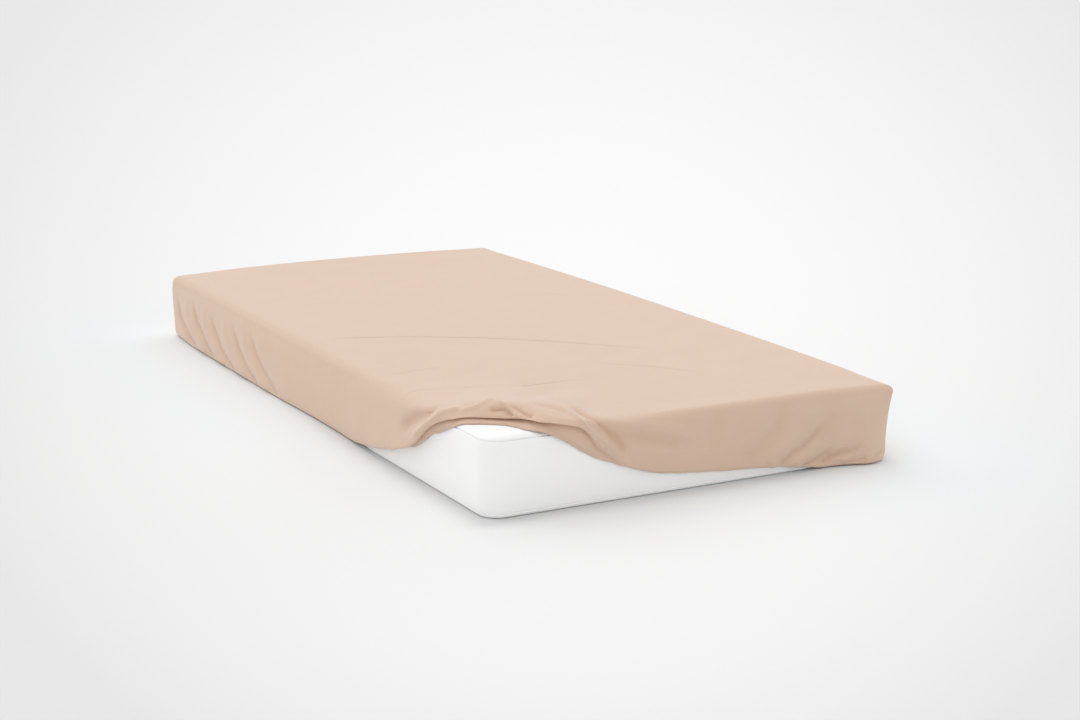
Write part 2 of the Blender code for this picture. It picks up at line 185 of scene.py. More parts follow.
# %% [markdown]
# Foam gives way. Its middle is crowned, its corners sink under the sewn corners of the sheet, its
# edges are pressed rounder where the sheet is stretched over them, and the two far edges bow up a
# little between their ends. Each of these is a function of a point's place, so that the sheet, which
# lies on the foam, can be moved by the same functions later.

# %% How the foam gives way
CORNER_SAG_REACH = 95 * MM
CornerSag = namedtuple("CornerSag", "x y sag")
CORNER_SAGS = (
    CornerSag(-1, +1, 5 * MM),
    CornerSag(+1, -1, 7 * MM),
    CornerSag(+1, +1, 3 * MM),
)
EDGE_RISE = (8 * MM, 8.5 * MM)  # of the middles of the far long and far short edges
RISE_FROM = (0.4, 0.7)          # shares of half the width and half the length where it sets in
EDGE_PRESS = 3.8 * MM           # how far the stretched sheet presses the top edge in
EDGE_PRESS_REACH = 34 * MM
STRETCHED_FROM = (0.35, 0.9)    # distance from the bare corner over which the sheet gets tight
PRESS_END = (20 * MM, 110 * MM)         # distance from the other corners over which the press sets in
GIVES_FROM = 0.375 * MATTRESS_HEIGHT    # below this height the foam keeps its shape


def crown(xy):
    """Extra height of the middle of the top over its edges."""
    share = np.clip(1 - (np.abs(xy) / HALF) ** 2, 0, 1)
    return CROWN * share[..., 0] * share[..., 1]


def corner_sag(points):
    """How far the soft top sinks at its covered corners, fading out down the sides."""
    down = 0
    for corner in CORNER_SAGS:
        away = np.hypot(points[..., 0] - corner.x * HALF[0], points[..., 1] - corner.y * HALF[1])
        down = down + corner.sag * np.exp(-((away / CORNER_SAG_REACH) ** 2))
    return down * ramp(points[..., 2], GIVES_FROM, MATTRESS_HEIGHT)


def edge_press(points):
    """How far the top edge is pressed in and down by the stretched sheet, at each point."""
    inset = HALF - np.abs(points[..., :2])
    drop = MATTRESS_HEIGHT - points[..., 2]
    from_bare = np.hypot(points[..., 0] + HALF[0], points[..., 1] + HALF[1])
    stretched = ramp(from_bare, *STRETCHED_FROM)
    move = np.zeros_like(points)
    for axis in (0, 1):
        near = np.exp(-((inset[..., axis] ** 2 + drop**2) / EDGE_PRESS_REACH**2))
        press = EDGE_PRESS * near * stretched * ramp(inset[..., 1 - axis], *PRESS_END) / np.sqrt(2)
        move[..., axis] -= np.sign(points[..., axis]) * press
        move[..., 2] -= press
    return move


def edge_rise(points):
    """How far the middles of the two far edges stand above their ends."""
    across = points[..., :2] / HALF
    share = np.clip(1 - across**2, 0, 1)
    rise = EDGE_RISE[0] * ramp(across[..., 0], RISE_FROM[0], 1) * share[..., 1]
    rise = rise + EDGE_RISE[1] * ramp(across[..., 1], RISE_FROM[1], 1) * share[..., 0]
    return rise * ramp(points[..., 2], GIVES_FROM, MATTRESS_HEIGHT)


print("corners sink by up to", round(max(corner.sag for corner in CORNER_SAGS) / MM, 1), "mm")


# %% [markdown]
# The section is a list of points with an inset from the side and a height. Arcs come from a few
# angles, and each groove adds a few points for its lips, its sides and its bottom.

# %% The mattress's section
def mattress_profile():
    """Inset, height and groove depth of each ring, from the base's edge to the top's middle."""
    centre = MATTRESS_HEIGHT - SHOULDER_RADIUS
    rows = [(HEM_BED_REACH + 22 * MM, 0, 0), (HEM_BED_REACH, 0, 0), (30 * MM, 0, 0)]
    for angle in np.radians((0, 9, 17, 22, 27, 36, 50, 65, 80)):
        height = FOOT_RADIUS * (1 - np.cos(angle))
        rows.append((FOOT_RADIUS * (1 - np.sin(angle)), height, 0))
    seam = BASE_SEAM.at
    for offset, depth in ((-2, 0), (-1, 0), (-0.45, 0.6), (0, 1), (0.45, 0.6), (1, 0), (2, 0)):
        rows.append((0, seam + offset * BASE_SEAM.half_width, depth * BASE_SEAM.depth))
    for share in np.linspace(0, 1, 9)[1:]:
        height = seam + BORDER_FROM + (centre - seam - BORDER_FROM) * share
        rows.append((-BORDER_SWELL * np.sin(np.pi * share), height, 0))
    seam_angle = np.degrees(np.arccos(1 - TOP_SEAM.at / SHOULDER_RADIUS))
    groove_step = np.degrees(TOP_SEAM.half_width / SHOULDER_RADIUS)
    angles = [6, 12]
    angles += [seam_angle + k * groove_step for k in (-1.8, -1, -0.45, 0, 0.45, 1, 1.8)]
    angles += [44, 52, 60, 68, 76, 83, 90]
    for angle in angles:
        away = abs(angle - seam_angle) / groove_step
        depth = TOP_SEAM.depth * (1 - ramp(away, 0, 1))
        inset = SHOULDER_RADIUS * (1 - np.cos(np.radians(angle)))
        rows.append((inset, centre + SHOULDER_RADIUS * np.sin(np.radians(angle)), depth))
    for inset in (24, 35, 60, 100, 160, 240, 330, 420):
        rows.append((inset * MM, MATTRESS_HEIGHT, 0))
    return np.array(rows)


profile = mattress_profile()
print("mattress section has", len(profile), "points")


# %% [markdown]
# Sweeping is two nested loops, written as array maths: every station of the outline gets every row of
# the section. A groove goes straight in, along the outline's normal and downwards on the shoulder.

# %% Sweep the mattress
GROOVE_IN = (1, 0.5)        # share of a groove's depth along the normal: base seam, top seam
GROOVE_DOWN = (0, 0.87)     # share of it straight down


def grid_faces(columns, rows):
    """Quads of a closed band: columns go round, rows go across it."""
    faces = []
    for i in range(columns):
        j = (i + 1) % columns
        for row in range(rows - 1):
            a, b = i * rows + row, j * rows + row
            faces.append((a, b, b + 1, a + 1))
    return faces


def mesh_object(name, points, faces):
    """A smooth-shaded mesh in the scene."""
    mesh = bpy.data.meshes.new(name)
    mesh.from_pydata(points.tolist(), [], faces)
    mesh.validate()
    mesh.shade_smooth()
    piece = bpy.data.objects.new(name, mesh)
    bpy.context.scene.collection.objects.link(piece)
    return piece


def make_mattress():
    """The section swept round the outline, with its base and the middle of its top closed."""
    short = spaced_runs(2 * SIDE_REACH[0], MATTRESS_SPACING_SHORT)
    long = spaced_runs(2 * SIDE_REACH[1], MATTRESS_SPACING_LONG)
    inset, height, depth = profile.T
    columns = []
    for side, runs in enumerate((short, long, -short[::-1], -long[::-1])):
        run = runs[:-1, None] + 0 * inset
        edge, normal = outline_point(side, run, np.full(run.shape, CORNER_RADIUS))
        near = edge - normal * inset[:, None]
        far = edge * (1 - inset[:, None] / HALF)
        blend = ramp(inset, 0.5 * CORNER_RADIUS, 1.6 * CORNER_RADIUS)[:, None]
        xy = near * (1 - blend) + far * blend
        z = height + 0 * run
        at_base = height < MATTRESS_HEIGHT / 2
        xy = xy - normal * depth[:, None] * np.where(at_base, *GROOVE_IN)[:, None]
        z = z - depth * np.where(at_base, *GROOVE_DOWN)
        place = place_along(side, run)
        covered = np.maximum(ramp(-place, *BED_LEFT), ramp(place, *BED_RIGHT))
        lifted = ramp(-inset, -HEM_BED_REACH - HEM_BED_STEP, -HEM_BED_REACH) * (height < FOOT_RADIUS)
        z = z + HEM_BED * covered * lifted
        z = z + crown(xy) * (height >= MATTRESS_HEIGHT)
        points = np.concatenate([xy, z[..., None]], -1)
        points = points + edge_press(points)
        points[..., 2] += edge_rise(points) - corner_sag(points)
        columns.append(points)
    points = np.concatenate(columns)
    count, rows = points.shape[:2]
    faces = grid_faces(count, rows)
    faces.append([i * rows for i in range(count)][::-1])
    faces.append([i * rows + rows - 1 for i in range(count)])
    return mesh_object("mattress_cover", points.reshape(-1, 3), faces)


mattress = make_mattress()
print("mattress:", len(mattress.data.polygons), "faces")

# %% [markdown]
# ## The sheet's sections
# Cloth that is stretched over a block is nearly the same everywhere, and only round the slipped corner
# does it change. So the sheet is described by cross-sections: each is a short polygon of control
# points, from the flat top over the puffed crest and the shoulder, down to the nose where the cloth
# turns back under itself, then to the crease, the hem band and the hem. The table has a row where the
# cloth changes, and a cubic easing fills in between rows.
#
# Its columns are in mm: `out` is outwards from the mattress's side and `up` above the base, except that
# `crest_up` counts from the top. `place` is the distance along the outline from the bare corner's
# middle, minus along the long side.

# %% Section table
CLEAR_TOP = 0.8 * MM
CLEAR_EDGE = 2.2 * MM
CLEAR_HEM = 0.3 * MM
Section = namedtuple(
    "Section",
    "place crest_out crest_up shoulder_out shoulder_up nose_out nose_up crease_out crease_up"
    " band_out band_up hem_out hem_up",
)
UNDER = 1.9     # height of the tucked cloth, pressed into the base


def tucked(place, nose_out, crease_out):
    """A fitted section: flat on the top, down the side and under the base."""
    band_out, hem_out = crease_out - 20, crease_out - 44
    return Section(place, -40, 0, 3, 172, nose_out, 2, crease_out, UNDER, band_out, UNDER, hem_out, UNDER)


COVERED = tucked(0, 6, -6)
RAISED_SECTIONS = (
    tucked(-1981, 6, -6),
    tucked(-1945, 8, -5),
    tucked(-1870, 13, -1),
    tucked(-1780, 18, 2),
    tucked(-1380, 18, 2),
    tucked(-1120, 15, 0),
    tucked(-960, 9, -4),
    tucked(-760, 7, -6),
    Section(-690, -40, 0, 3, 172, 8, 3, 0, UNDER, -10, UNDER, -22, UNDER),
    Section(-640, -40, 0, 4, 172, 10, 8, 5, 7, 3, 7, 2, 8),
    Section(-600, -40, 0, 5, 172, 11, 12, 6, 13, 4, 14, 3, 15),
    Section(-540, -40, 0, 6, 172, 13, 18, 6, 24, 4, 27, 3, 29),
    Section(-420, -40, 1, 8, 173, 19, 40, 6, 52, 4, 55, 3, 57),
    Section(-330, -40, 3, 11, 175, 23, 66, 6, 82, 4, 75, 3, 71),
    Section(-285, -43, 5, 13, 179, 23, 90, 6, 110, 7, 99, 3, 93),
    Section(-240, -50, 9, 16, 183, 20, 127, 4, 143, 8, 130, 3, 120),
    Section(-200, -56, 18, 7, 189, 15, 152, -4, 167, 8, 147, 3, 133),
    Section(-150, -60, 29, -12, 194, 6, 172, -20, 187, 5, 164, 2, 154),
    Section(-105, -78, 36, -44, 198, -18, 180, -52, 195, -22, 178, -11, 170),
    Section(-50, -94, 43, -73, 203, -56, 178, -94, 194, -66, 178, -47, 170),
    Section(0, -102, 45, -86, 205, -76, 179, -114, 195, -86, 178, -68, 170),
    Section(40, -90, 43, -68, 204, -59, 184, -98, 197, -67, 180, -49, 170),
    Section(80, -88, 41, -45, 204, -27, 187, -64, 199, -34, 181, -17, 170),
    Section(115, -90, 38, -18, 201, 3, 188, -32, 198, -2, 181, 1, 168),
    Section(160, -72, 33, 4, 194, 20, 181, -8, 193, 12, 172, 3, 148),
    Section(200, -46, 22, 14, 188, 22, 167, 8, 177, 16, 150, 3, 121),
    Section(235, -42, 8, 12, 186, 19, 130, 9, 126, 9, 109, 3, 100),
    Section(300, -40, 3, 9, 176, 15, 77, 6, 79, 4, 76, 3, 75),
    Section(390, -40, 1, 7, 173, 12, 49, 4, 50, 4, 48, 3, 47),
    Section(520, -40, 0, 5, 172, 10, 34, 4, 35, 4, 35, 3, 35),
    Section(600, -40, 0, 5, 172, 10, 28, 5, 28, 4, 29, 3, 30),
    Section(680, -40, 0, 5, 172, 11, 22, 5, 22, 4, 23, 3, 24),
    Section(770, -40, 0, 5, 172, 12, 10, 7, 10, 5, 12, 3, 13),
    Section(805, -40, 0, 3, 172, 10, 4, 5, 3, 3, 3, -1, 2.5),
    Section(836, -40, 0, 3, 172, 15, 3, 4, UNDER, -6, UNDER, -14, UNDER),
    Section(872, -40, 0, 3, 172, 25, 2, 8, UNDER, -12, UNDER, -32, UNDER),
    Section(912, -40, 0, 3, 172, 41, 2, 16, UNDER, -12, UNDER, -38, UNDER),
    Section(945, -40, 0, 3, 172, 34, 2, 12, UNDER, -16, UNDER, -42, UNDER),
    tucked(985, 0, -12),
    tucked(1030, 2, -10),
    tucked(1100, 6, -6),
)


def section_at(place):
    """The section's sizes at a place on the outline, eased between the table's rows."""
    rows = RAISED_SECTIONS
    mm = place / MM
    if mm <= rows[0].place or mm >= rows[-1].place:
        return np.array(COVERED[1:], float)
    after = next(i for i, row in enumerate(rows) if row.place >= mm)
    quad = [np.array(rows[min(max(i, 0), len(rows) - 1)], float) for i in range(after - 2, after + 2)]
    t = (mm - quad[1][0]) / (quad[2][0] - quad[1][0])
    before, start, end, beyond = (row[1:] for row in quad)
    return np.clip(eased(before, start, end, beyond, t), np.minimum(start, end), np.maximum(start, end))


print(len(RAISED_SECTIONS), "sections in the table")

# %% [markdown]
# Each section starts where the flat middle of the top ends. That is 60 mm from the edge where the sheet
# fits, and 260 mm at the slipped corner, because the cloth puffs up that far in.

# %% Control points
INSET_FITTED = 60 * MM
INSET_BARE = 260 * MM
INSET_CHANGE = (290 * MM, 480 * MM)
BELLY_SHARES = (0.35, 0.8)      # where between shoulder and nose
BELLY = np.array((1.5, 0))      # how far the wall stands out there, in mm
PUFF_START = (0.75, 0.3)        # least share of the inset, and share of the way back from the crest
PUFF_RISE = 0.36                # share of the crest's height there


def panel_inset(place):
    """How far in from the outline the flat middle of the top ends."""
    return INSET_BARE + (INSET_FITTED - INSET_BARE) * ramp(np.abs(place), *INSET_CHANGE)


def control_points(place):
    """Control polygon of one section, as (out, up) in metres."""
    c = Section(0, *section_at(place))
    top = (MATTRESS_HEIGHT + CLEAR_TOP) / MM
    start = float(panel_inset(place)) / MM
    shoulder, nose = np.array((c.shoulder_out, c.shoulder_up)), np.array((c.nose_out, c.nose_up))
    belly = [shoulder * (1 - share) + nose * share for share in BELLY_SHARES]
    least, back = PUFF_START
    puff_start = max(least * start, back * start - c.crest_out * (1 - back))
    points = [
        (-start, top), (-puff_start, top + PUFF_RISE * c.crest_up),
        (c.crest_out, top + c.crest_up), (c.shoulder_out, c.shoulder_up),
        tuple(belly[0] + BELLY), tuple(belly[1] + BELLY),
        (c.nose_out, c.nose_up), (c.crease_out, c.crease_up),
        (c.band_out, c.band_up),
        (c.hem_out, c.hem_up),
    ]
    return np.array(points) * MM


CONTROLS = len(control_points(0.0))
print(CONTROLS, "control points in each section")

# %% [markdown]
# A cubic B-spline turns each polygon into a smooth curve. Its basis depends only on the steps, so it is
# one small matrix, and a multiplication gives the points of every section at once. Rows stand closest
# where the cloth turns: over the shoulder, round the nose and in the crease. Along the outline the
# sections stand closest at the slipped corner, and close again beside each sewn corner.

# %% Section curves
Stretch = namedtuple("Stretch", "upto rows")
ROWS = (Stretch(0.14, 5), Stretch(0.36, 14), Stretch(0.62, 15), Stretch(0.84, 15), Stretch(1.0, 9))
SPACINGS = (
    (
        Spacing(0, 3.4), Spacing(370, 3.6), Spacing(480, 8), Spacing(590, 7), Spacing(680, 3.7),
        Spacing(981, 3),
    ),
    (Spacing(0, 3), Spacing(80, 8), Spacing(220, 28), Spacing(1760, 28), Spacing(1900, 8), Spacing(1981, 3)),
    (Spacing(0, 3), Spacing(80, 8), Spacing(200, 24), Spacing(780, 24), Spacing(900, 8), Spacing(981, 3)),
    (Spacing(0, 3), Spacing(80, 5.6), Spacing(950, 6), Spacing(1150, 13), Spacing(1450, 13),
     Spacing(1600, 3.8), Spacing(1981, 3.4)),
)


def row_steps():
    """Where along a section, from 0 to 1, its rows stand."""
    steps, start = [0.0], 0.0
    for stretch in ROWS:
        steps += list(np.linspace(start, stretch.upto, stretch.rows + 1)[1:])
        start = stretch.upto
    return np.array(steps)


def spline_basis(steps, count, degree=3):
    """Weights of each control point at each step of a clamped B-spline."""
    knots = np.concatenate([np.zeros(degree), np.linspace(0, 1, count - degree + 1), np.ones(degree)])
    basis = np.zeros((len(steps), len(knots) - 1))
    for i in range(len(knots) - 1):
        basis[:, i] = (steps >= knots[i]) & (steps < knots[i + 1])
    basis[steps >= 1, count - 1] = 1
    for k in range(1, degree + 1):
        for i in range(len(knots) - 1 - k):
            left, right = knots[i + k] - knots[i], knots[i + k + 1] - knots[i + 1]
            rise = (steps - knots[i]) / left * basis[:, i] if left > 0 else 0
            fall = (knots[i + k + 1] - steps) / right * basis[:, i + 1] if right > 0 else 0
            basis[:, i] = rise + fall
    return basis[:, :count]


steps = row_steps()
basis = spline_basis(steps, CONTROLS)
SIDE_RUNS = [spaced_runs(2 * SIDE_REACH[side % 2], table) for side, table in enumerate(SPACINGS)]
stations = sum(len(runs) - 1 for runs in SIDE_RUNS)
print(stations, "sections with", len(steps), "points each")


# %% [markdown]
# A curve in a table can cut through the mattress it lies on. The next functions push such points
# straight out, to a little way off the rounded shoulder, as the real mattress would. They also round
# the sheet's three fitted corners: nearly a point at the top and wide at the foot, where the elastic
# draws the cloth in. The seam itself is a shallow furrow. Two of the corners also have a small ear at
# the top, pulled out by the seam. It is made once the folds are in, by moving the points near it.

# %% From sections to points in space
SHEET_CORNER_TOPS = (5 * MM, 6 * MM, 12 * MM, CORNER_RADIUS)    # radius at each side's end, at the top
SHEET_CORNER_FEET = (42 * MM, 42 * MM, CORNER_RADIUS, CORNER_RADIUS)    # and at the foot
CORNER_SEAM = Groove(0, 2.6 * MM, 1.4 * MM)
Ear = namedtuple("Ear", "x y pull")
EARS = (Ear(+1, -1, 7.5 * MM), Ear(+1, +1, 5 * MM))
EAR_REACH = 15 * MM
EAR_RISE = (110 * MM, 172 * MM)     # height over which the ear sets in
EAR_LIFT = 0.35                     # how much an ear points up
BARE_REACH = 200 * MM
TOP_EDGE = (-70 * MM, -10 * MM)     # where, outwards, the cloth's room grows from top to edge
HEM_STEPS = (0.9, 1.0)
UNDERSIDE = 20 * MM                 # below this height a section may lie under the mattress


def clear_of_mattress(out, up):
    """Section points pushed straight out where they would lie too near the mattress."""
    side = out + SHOULDER_RADIUS
    top = up - (MATTRESS_HEIGHT - SHOULDER_RADIUS)
    round_part = (side > 0) & (top > 0)
    gap = np.where(round_part, np.hypot(side, top), np.maximum(side, top)) - SHOULDER_RADIUS
    wanted = CLEAR_TOP + (CLEAR_EDGE - CLEAR_TOP) * ramp(out, *TOP_EDGE)
    wanted = wanted + (CLEAR_HEM - wanted) * ramp(steps, *HEM_STEPS)
    push = np.maximum(wanted - gap, 0) * (up > UNDERSIDE)
    length = np.maximum(np.hypot(side, top), 1e-9)
    towards = np.where(round_part, side / length, (side >= top).astype(float))
    upwards = np.where(round_part, top / length, (side < top).astype(float))
    return out + push * towards, up + push * upwards


def sheet_corner_radius(side, run, up, place):
    """Radius of the outline at each point: small at the top of a sewn corner, wide at its foot."""
    top, foot = (
        np.where(run > 0, radii[side], radii[side - 1]) for radii in (SHEET_CORNER_TOPS, SHEET_CORNER_FEET)
    )
    sewn = foot + (top - foot) * ramp(up, 0, MATTRESS_HEIGHT)
    bare = np.exp(-((place / BARE_REACH) ** 4))
    return sewn * (1 - bare) + CORNER_RADIUS * bare


def ear_pull(points):
    """Points near the top of a sewn corner moved out into the ear that its seam makes there."""
    for ear in EARS:
        corner = np.array((ear.x, ear.y)) * HALF
        away = np.hypot(points[..., 0] - corner[0], points[..., 1] - corner[1])
        share = np.exp(-((away / EAR_REACH) ** 1.5)) * ramp(points[..., 2], *EAR_RISE)
        points = points + share[..., None] * ear.pull * np.array((ear.x, ear.y, EAR_LIFT)) / np.sqrt(2)
    return points


def corner_furrow(side, runs, place):
    """Depth of the sewn corner's seam at each section."""
    away = (1 - np.abs(runs)) * SIDE_REACH[side % 2]
    fitted = 1 - np.exp(-((place / BARE_REACH) ** 4))
    return CORNER_SEAM.depth * fitted * np.exp(-((away / CORNER_SEAM.half_width) ** 2))


def side_sections(side, runs):
    """Points of one side's sections, as an array of stations by rows by three."""
    place = place_along(side, runs)
    curves = np.stack([basis @ control_points(p) for p in place])
    out, up = clear_of_mattress(curves[..., 0], curves[..., 1])
    run = runs[:, None] + 0 * out
    edge, normal = outline_point(side, run, sheet_corner_radius(side, run, up, place[:, None]))
    across = side % 2
    inset = panel_inset(place)
    inner = np.stack([runs * (HALF[across] - inset), inset - HALF[1 - across]], -1)
    inner = quarter_turns(inner, side)[:, None]
    on_top = edge + (edge - inner) * (out / inset[:, None])[..., None]
    plan = np.where((out > 0)[..., None], edge + out[..., None] * normal, on_top)
    furrow = corner_furrow(side, runs, place)[:, None] * ramp(out, -30 * MM, 0)
    return np.concatenate([plan - normal * furrow[..., None], up[..., None]], -1)


sections = [side_sections(side, runs) for side, runs in enumerate(SIDE_RUNS)]
print("highest point of a section", round(max(float(part[..., 2].max()) for part in sections), 4), "m")

# %% [markdown]
# ## Creases
# The cloth has long, thin creases from having been folded. Five cross the top, and some of them hardly
# show. A crease is narrower than any sensible grid, so the flat middle of the top gets its mesh from a
# triangulation, which takes points at will: a loose grid everywhere, and rows of points close beside
# each crease.
#
# A crease is a path of (x, y) in mm and a depth in mm.

# %% Crease table
Crease = namedtuple("Crease", "path depth")
TOP_CREASES = (
    Crease(((-492, 6), (-402, -14), (-316, -47), (-204, -107), (-87, -183), (20, -276), (103, -362),
            (182, -451), (250, -523)), 0.9),
    Crease(((-470, -422), (-431, -418), (-380, -409), (-328, -410), (-290, -414)), 0.45),
    Crease(((-532, -643), (-462, -586), (-391, -605), (-295, -642), (-208, -655), (-126, -658),
            (-48, -680), (-10, -692)), 0.75),
    Crease(((-20, -520), (12, -545), (88, -607), (145, -680), (177, -749), (184, -790)), 0.5),
    Crease(((150, 420), (236, 330), (300, 246), (352, 150)), 0.3),
)
CREASE_ROWS = (-9, -3.5, 0, 3.5, 9)      # mm to the side of a crease
CREASE_STEP = 7 * MM
PANEL_GRID = 36 * MM
CREASE_FROM_BORDER = 3 * MM
GRID_FROM_BORDER = 9 * MM
GRID_FROM_CREASE = 12 * MM


def smooth_path(path, gap):
    """Points at a steady gap on a smooth curve through a path's points, in metres."""
    path = np.array(path, float) * MM
    ends = np.vstack([2 * path[0] - path[1], path, 2 * path[-1] - path[-2]])
    out = []
    for before, start, end, beyond in zip(ends, ends[1:], ends[2:], ends[3:]):
        t = np.linspace(0, 1, max(2, int(np.linalg.norm(end - start) / gap) + 1))[:-1, None]
        out.append(eased(before, start, end, beyond, t))
    return np.vstack(out + [path[-1:]])


def rows_beside(path):
    """Points in rows beside a flat path."""
    along = np.gradient(path, axis=0)
    sideways = np.stack([-along[:, 1], along[:, 0]], -1) / np.linalg.norm(along, axis=1)[:, None]
    return np.concatenate([path + sideways * offset * MM for offset in CREASE_ROWS])


top_crease_points = [rows_beside(smooth_path(crease.path, CREASE_STEP)) for crease in TOP_CREASES]
print(len(TOP_CREASES), "creases on the top,", sum(map(len, top_crease_points)), "points beside them")

# %% [markdown]
# ## One mesh for the whole sheet
# The triangulated middle and the ring of sections share the ring's innermost points, so the sheet is
# one surface with no gaps. Beside each point its place on the flat cotton is kept too, in metres: on
# the top that is simply X and Y, and down a wall it is how far the cloth has run since the edge. The
# weave is drawn in that flat pattern later, so it turns the edge with the cloth.

# %% The flat middle
def inside_loop(points, loop):
    """Which points lie inside a closed outline."""
    within = np.zeros(len(points), bool)
    for a, b in zip(loop, np.roll(loop, -1, axis=0)):
        crosses = (a[1] > points[:, 1]) != (b[1] > points[:, 1])
        if crosses.any():
            reach = a[0] + (points[:, 1] - a[1]) / (b[1] - a[1]) * (b[0] - a[0])
            within ^= crosses & (points[:, 0] < reach)
    return within


def clear_of(points, others, gap):
    """The points that are at least a gap away from all the others."""
    nearest = np.full(len(points), np.inf)
    for other in others:
        nearest = np.minimum(nearest, ((points - other) ** 2).sum(1))
    return points[nearest > gap**2]


def flat_middle(border):
    """Points and triangles of the top inside its border."""
    creased = np.concatenate(top_crease_points)
    creased = clear_of(creased[inside_loop(creased, border)], border, CREASE_FROM_BORDER)
    counts = np.ceil(2 * HALF / PANEL_GRID).astype(int)
    axes = [np.linspace(-half, half, count) for half, count in zip(HALF, counts)]
    grid = np.stack(np.meshgrid(*axes, indexing="ij"), -1).reshape(-1, 2)
    grid = clear_of(grid[inside_loop(grid, border)], border, GRID_FROM_BORDER)
    grid = clear_of(grid, creased, GRID_FROM_CREASE)
    flat = np.concatenate([border, creased, grid])
    ring = [(i, (i + 1) % len(border)) for i in range(len(border))]
    made = delaunay_2d_cdt([Vector(p) for p in flat.tolist()], ring, [], 1, 1e-7)
    source = [ids[0] for ids in made[3]]
    triangles = np.array([[source[i] for i in face] for face in made[2]])
    return flat, triangles


border = np.concatenate([part[:-1, 0, :2] for part in sections])
flat_points, flat_triangles = flat_middle(border)
print("the flat middle has", len(flat_points), "points and", len(flat_triangles), "triangles")


# %% Sheet mesh
LEVEL_FROM = (0.6, 0.95)    # share of a step that goes outwards, from which the cloth counts as level


def lengths_down(points):
    """How far along its section each point lies, from the first."""
    gaps = np.linalg.norm(np.diff(points, axis=1), axis=2)
    return np.concatenate([np.zeros((len(points), 1)), np.cumsum(gaps, axis=1)], axis=1)


def flat_pattern(side, points):
    """Where each point of a side lies on the flat cloth, worked out step by step down its section."""
    outward = quarter_turns(np.array([0.0, -1.0]), side)
    step = np.diff(points, axis=1)
    length = np.linalg.norm(step, axis=2)
    level = ramp(step[..., :2] @ outward / length, *LEVEL_FROM)[..., None]
    flat_step = step[..., :2] * level + outward * length[..., None] * (1 - level)
    start = points[:, :1, :2]
    return np.concatenate([start, start + np.cumsum(flat_step, axis=1)], axis=1)


def around(table):
    """The four corners of every cell between neighbouring rows and columns of a table."""
    return np.stack([table[:-1, :-1], table[:-1, 1:], table[1:, 1:], table[1:, :-1]], 2)


def sheet_surface():
    """Points, quads, and the flat pattern of each quad's corners."""
    rows = len(steps)
    grid = np.arange(stations)[:, None]
    below = len(flat_points) + np.arange(stations * (rows - 1)).reshape(stations, rows - 1)
    grid = np.hstack([grid, below])
    grid = np.vstack([grid, grid[:1]])
    quads = around(grid).reshape(-1, 4)
    pattern = np.concatenate([
        around(flat_pattern(side, part)).reshape(-1, 4, 2) for side, part in enumerate(sections)
    ])
    panel = np.concatenate([flat_points, np.full((len(flat_points), 1), sections[0][0, 0, 2])], 1)
    ring = np.concatenate([part[:-1, 1:].reshape(-1, 3) for part in sections])
    return np.concatenate([panel, ring]), quads, pattern, grid[:-1]


points, quads, pattern, section_grid = sheet_surface()
flat_xy = points[:, :2].copy()
print("sheet:", len(points), "points,", len(quads), "quads")


# %% [markdown]
# ## Folds
# The cloth is drawn into long soft folds: gathers that run down to the elastic at the far corners, and
# round the slipped corner a ridge, a valley, a hump and a pinch. Each is a path in space with a width
# and a height in mm. A point near the path moves along its normal by a bell-shaped amount, plus for a
# ridge and minus for a trough, and the fold fades at both ends. `sharp` is the bell's power: 2 is
# round, and less gives the ridge a sharper edge. Each path is first laid on the surface. Between two
# gathers of the long side the cloth stands off the mattress in a soft billow.

# %% Fold table
Fold = namedtuple("Fold", "path width height sharp", defaults=(2,))
FOLD_RISE = (0.0, 0.25)
FOLD_END = (-0.025, 0.1)
FOLDS_FADE = (4 * MM, 16 * MM)
CROWN_FADE = (150 * MM, 170 * MM)
FOLD_STEP = 5 * MM
LEFT_GATHERS = (        # at the left end of the long side, drawn towards the foot of the corner
    Fold(((-509, 936, 130), (-509, 928, 105), (-509, 908, 68), (-509, 855, 41), (-509, 780, 17),
          (-509, 739, 1)), 10, -7, 1.5),
    Fold(((-509, 806, 144), (-509, 784, 118), (-509, 758, 82), (-509, 699, 51), (-509, 644, 23),
          (-509, 585, 3)), 10, -7, 1.5),
    Fold(((-509, 652, 122), (-509, 628, 98), (-509, 589, 72), (-509, 544, 42), (-509, 490, 24),
          (-509, 432, 3)), 10, -7, 1.5),
    Fold(((-509, 466, 132), (-509, 450, 105), (-509, 419, 74), (-509, 372, 48), (-509, 324, 26),
          (-509, 262, 2)), 10, -7, 1.5),
    Fold(((-509, 338, 138), (-509, 320, 114), (-509, 294, 85), (-509, 252, 58), (-509, 197, 36),
          (-509, 118, 2)), 10, -6.5, 1.5),
)
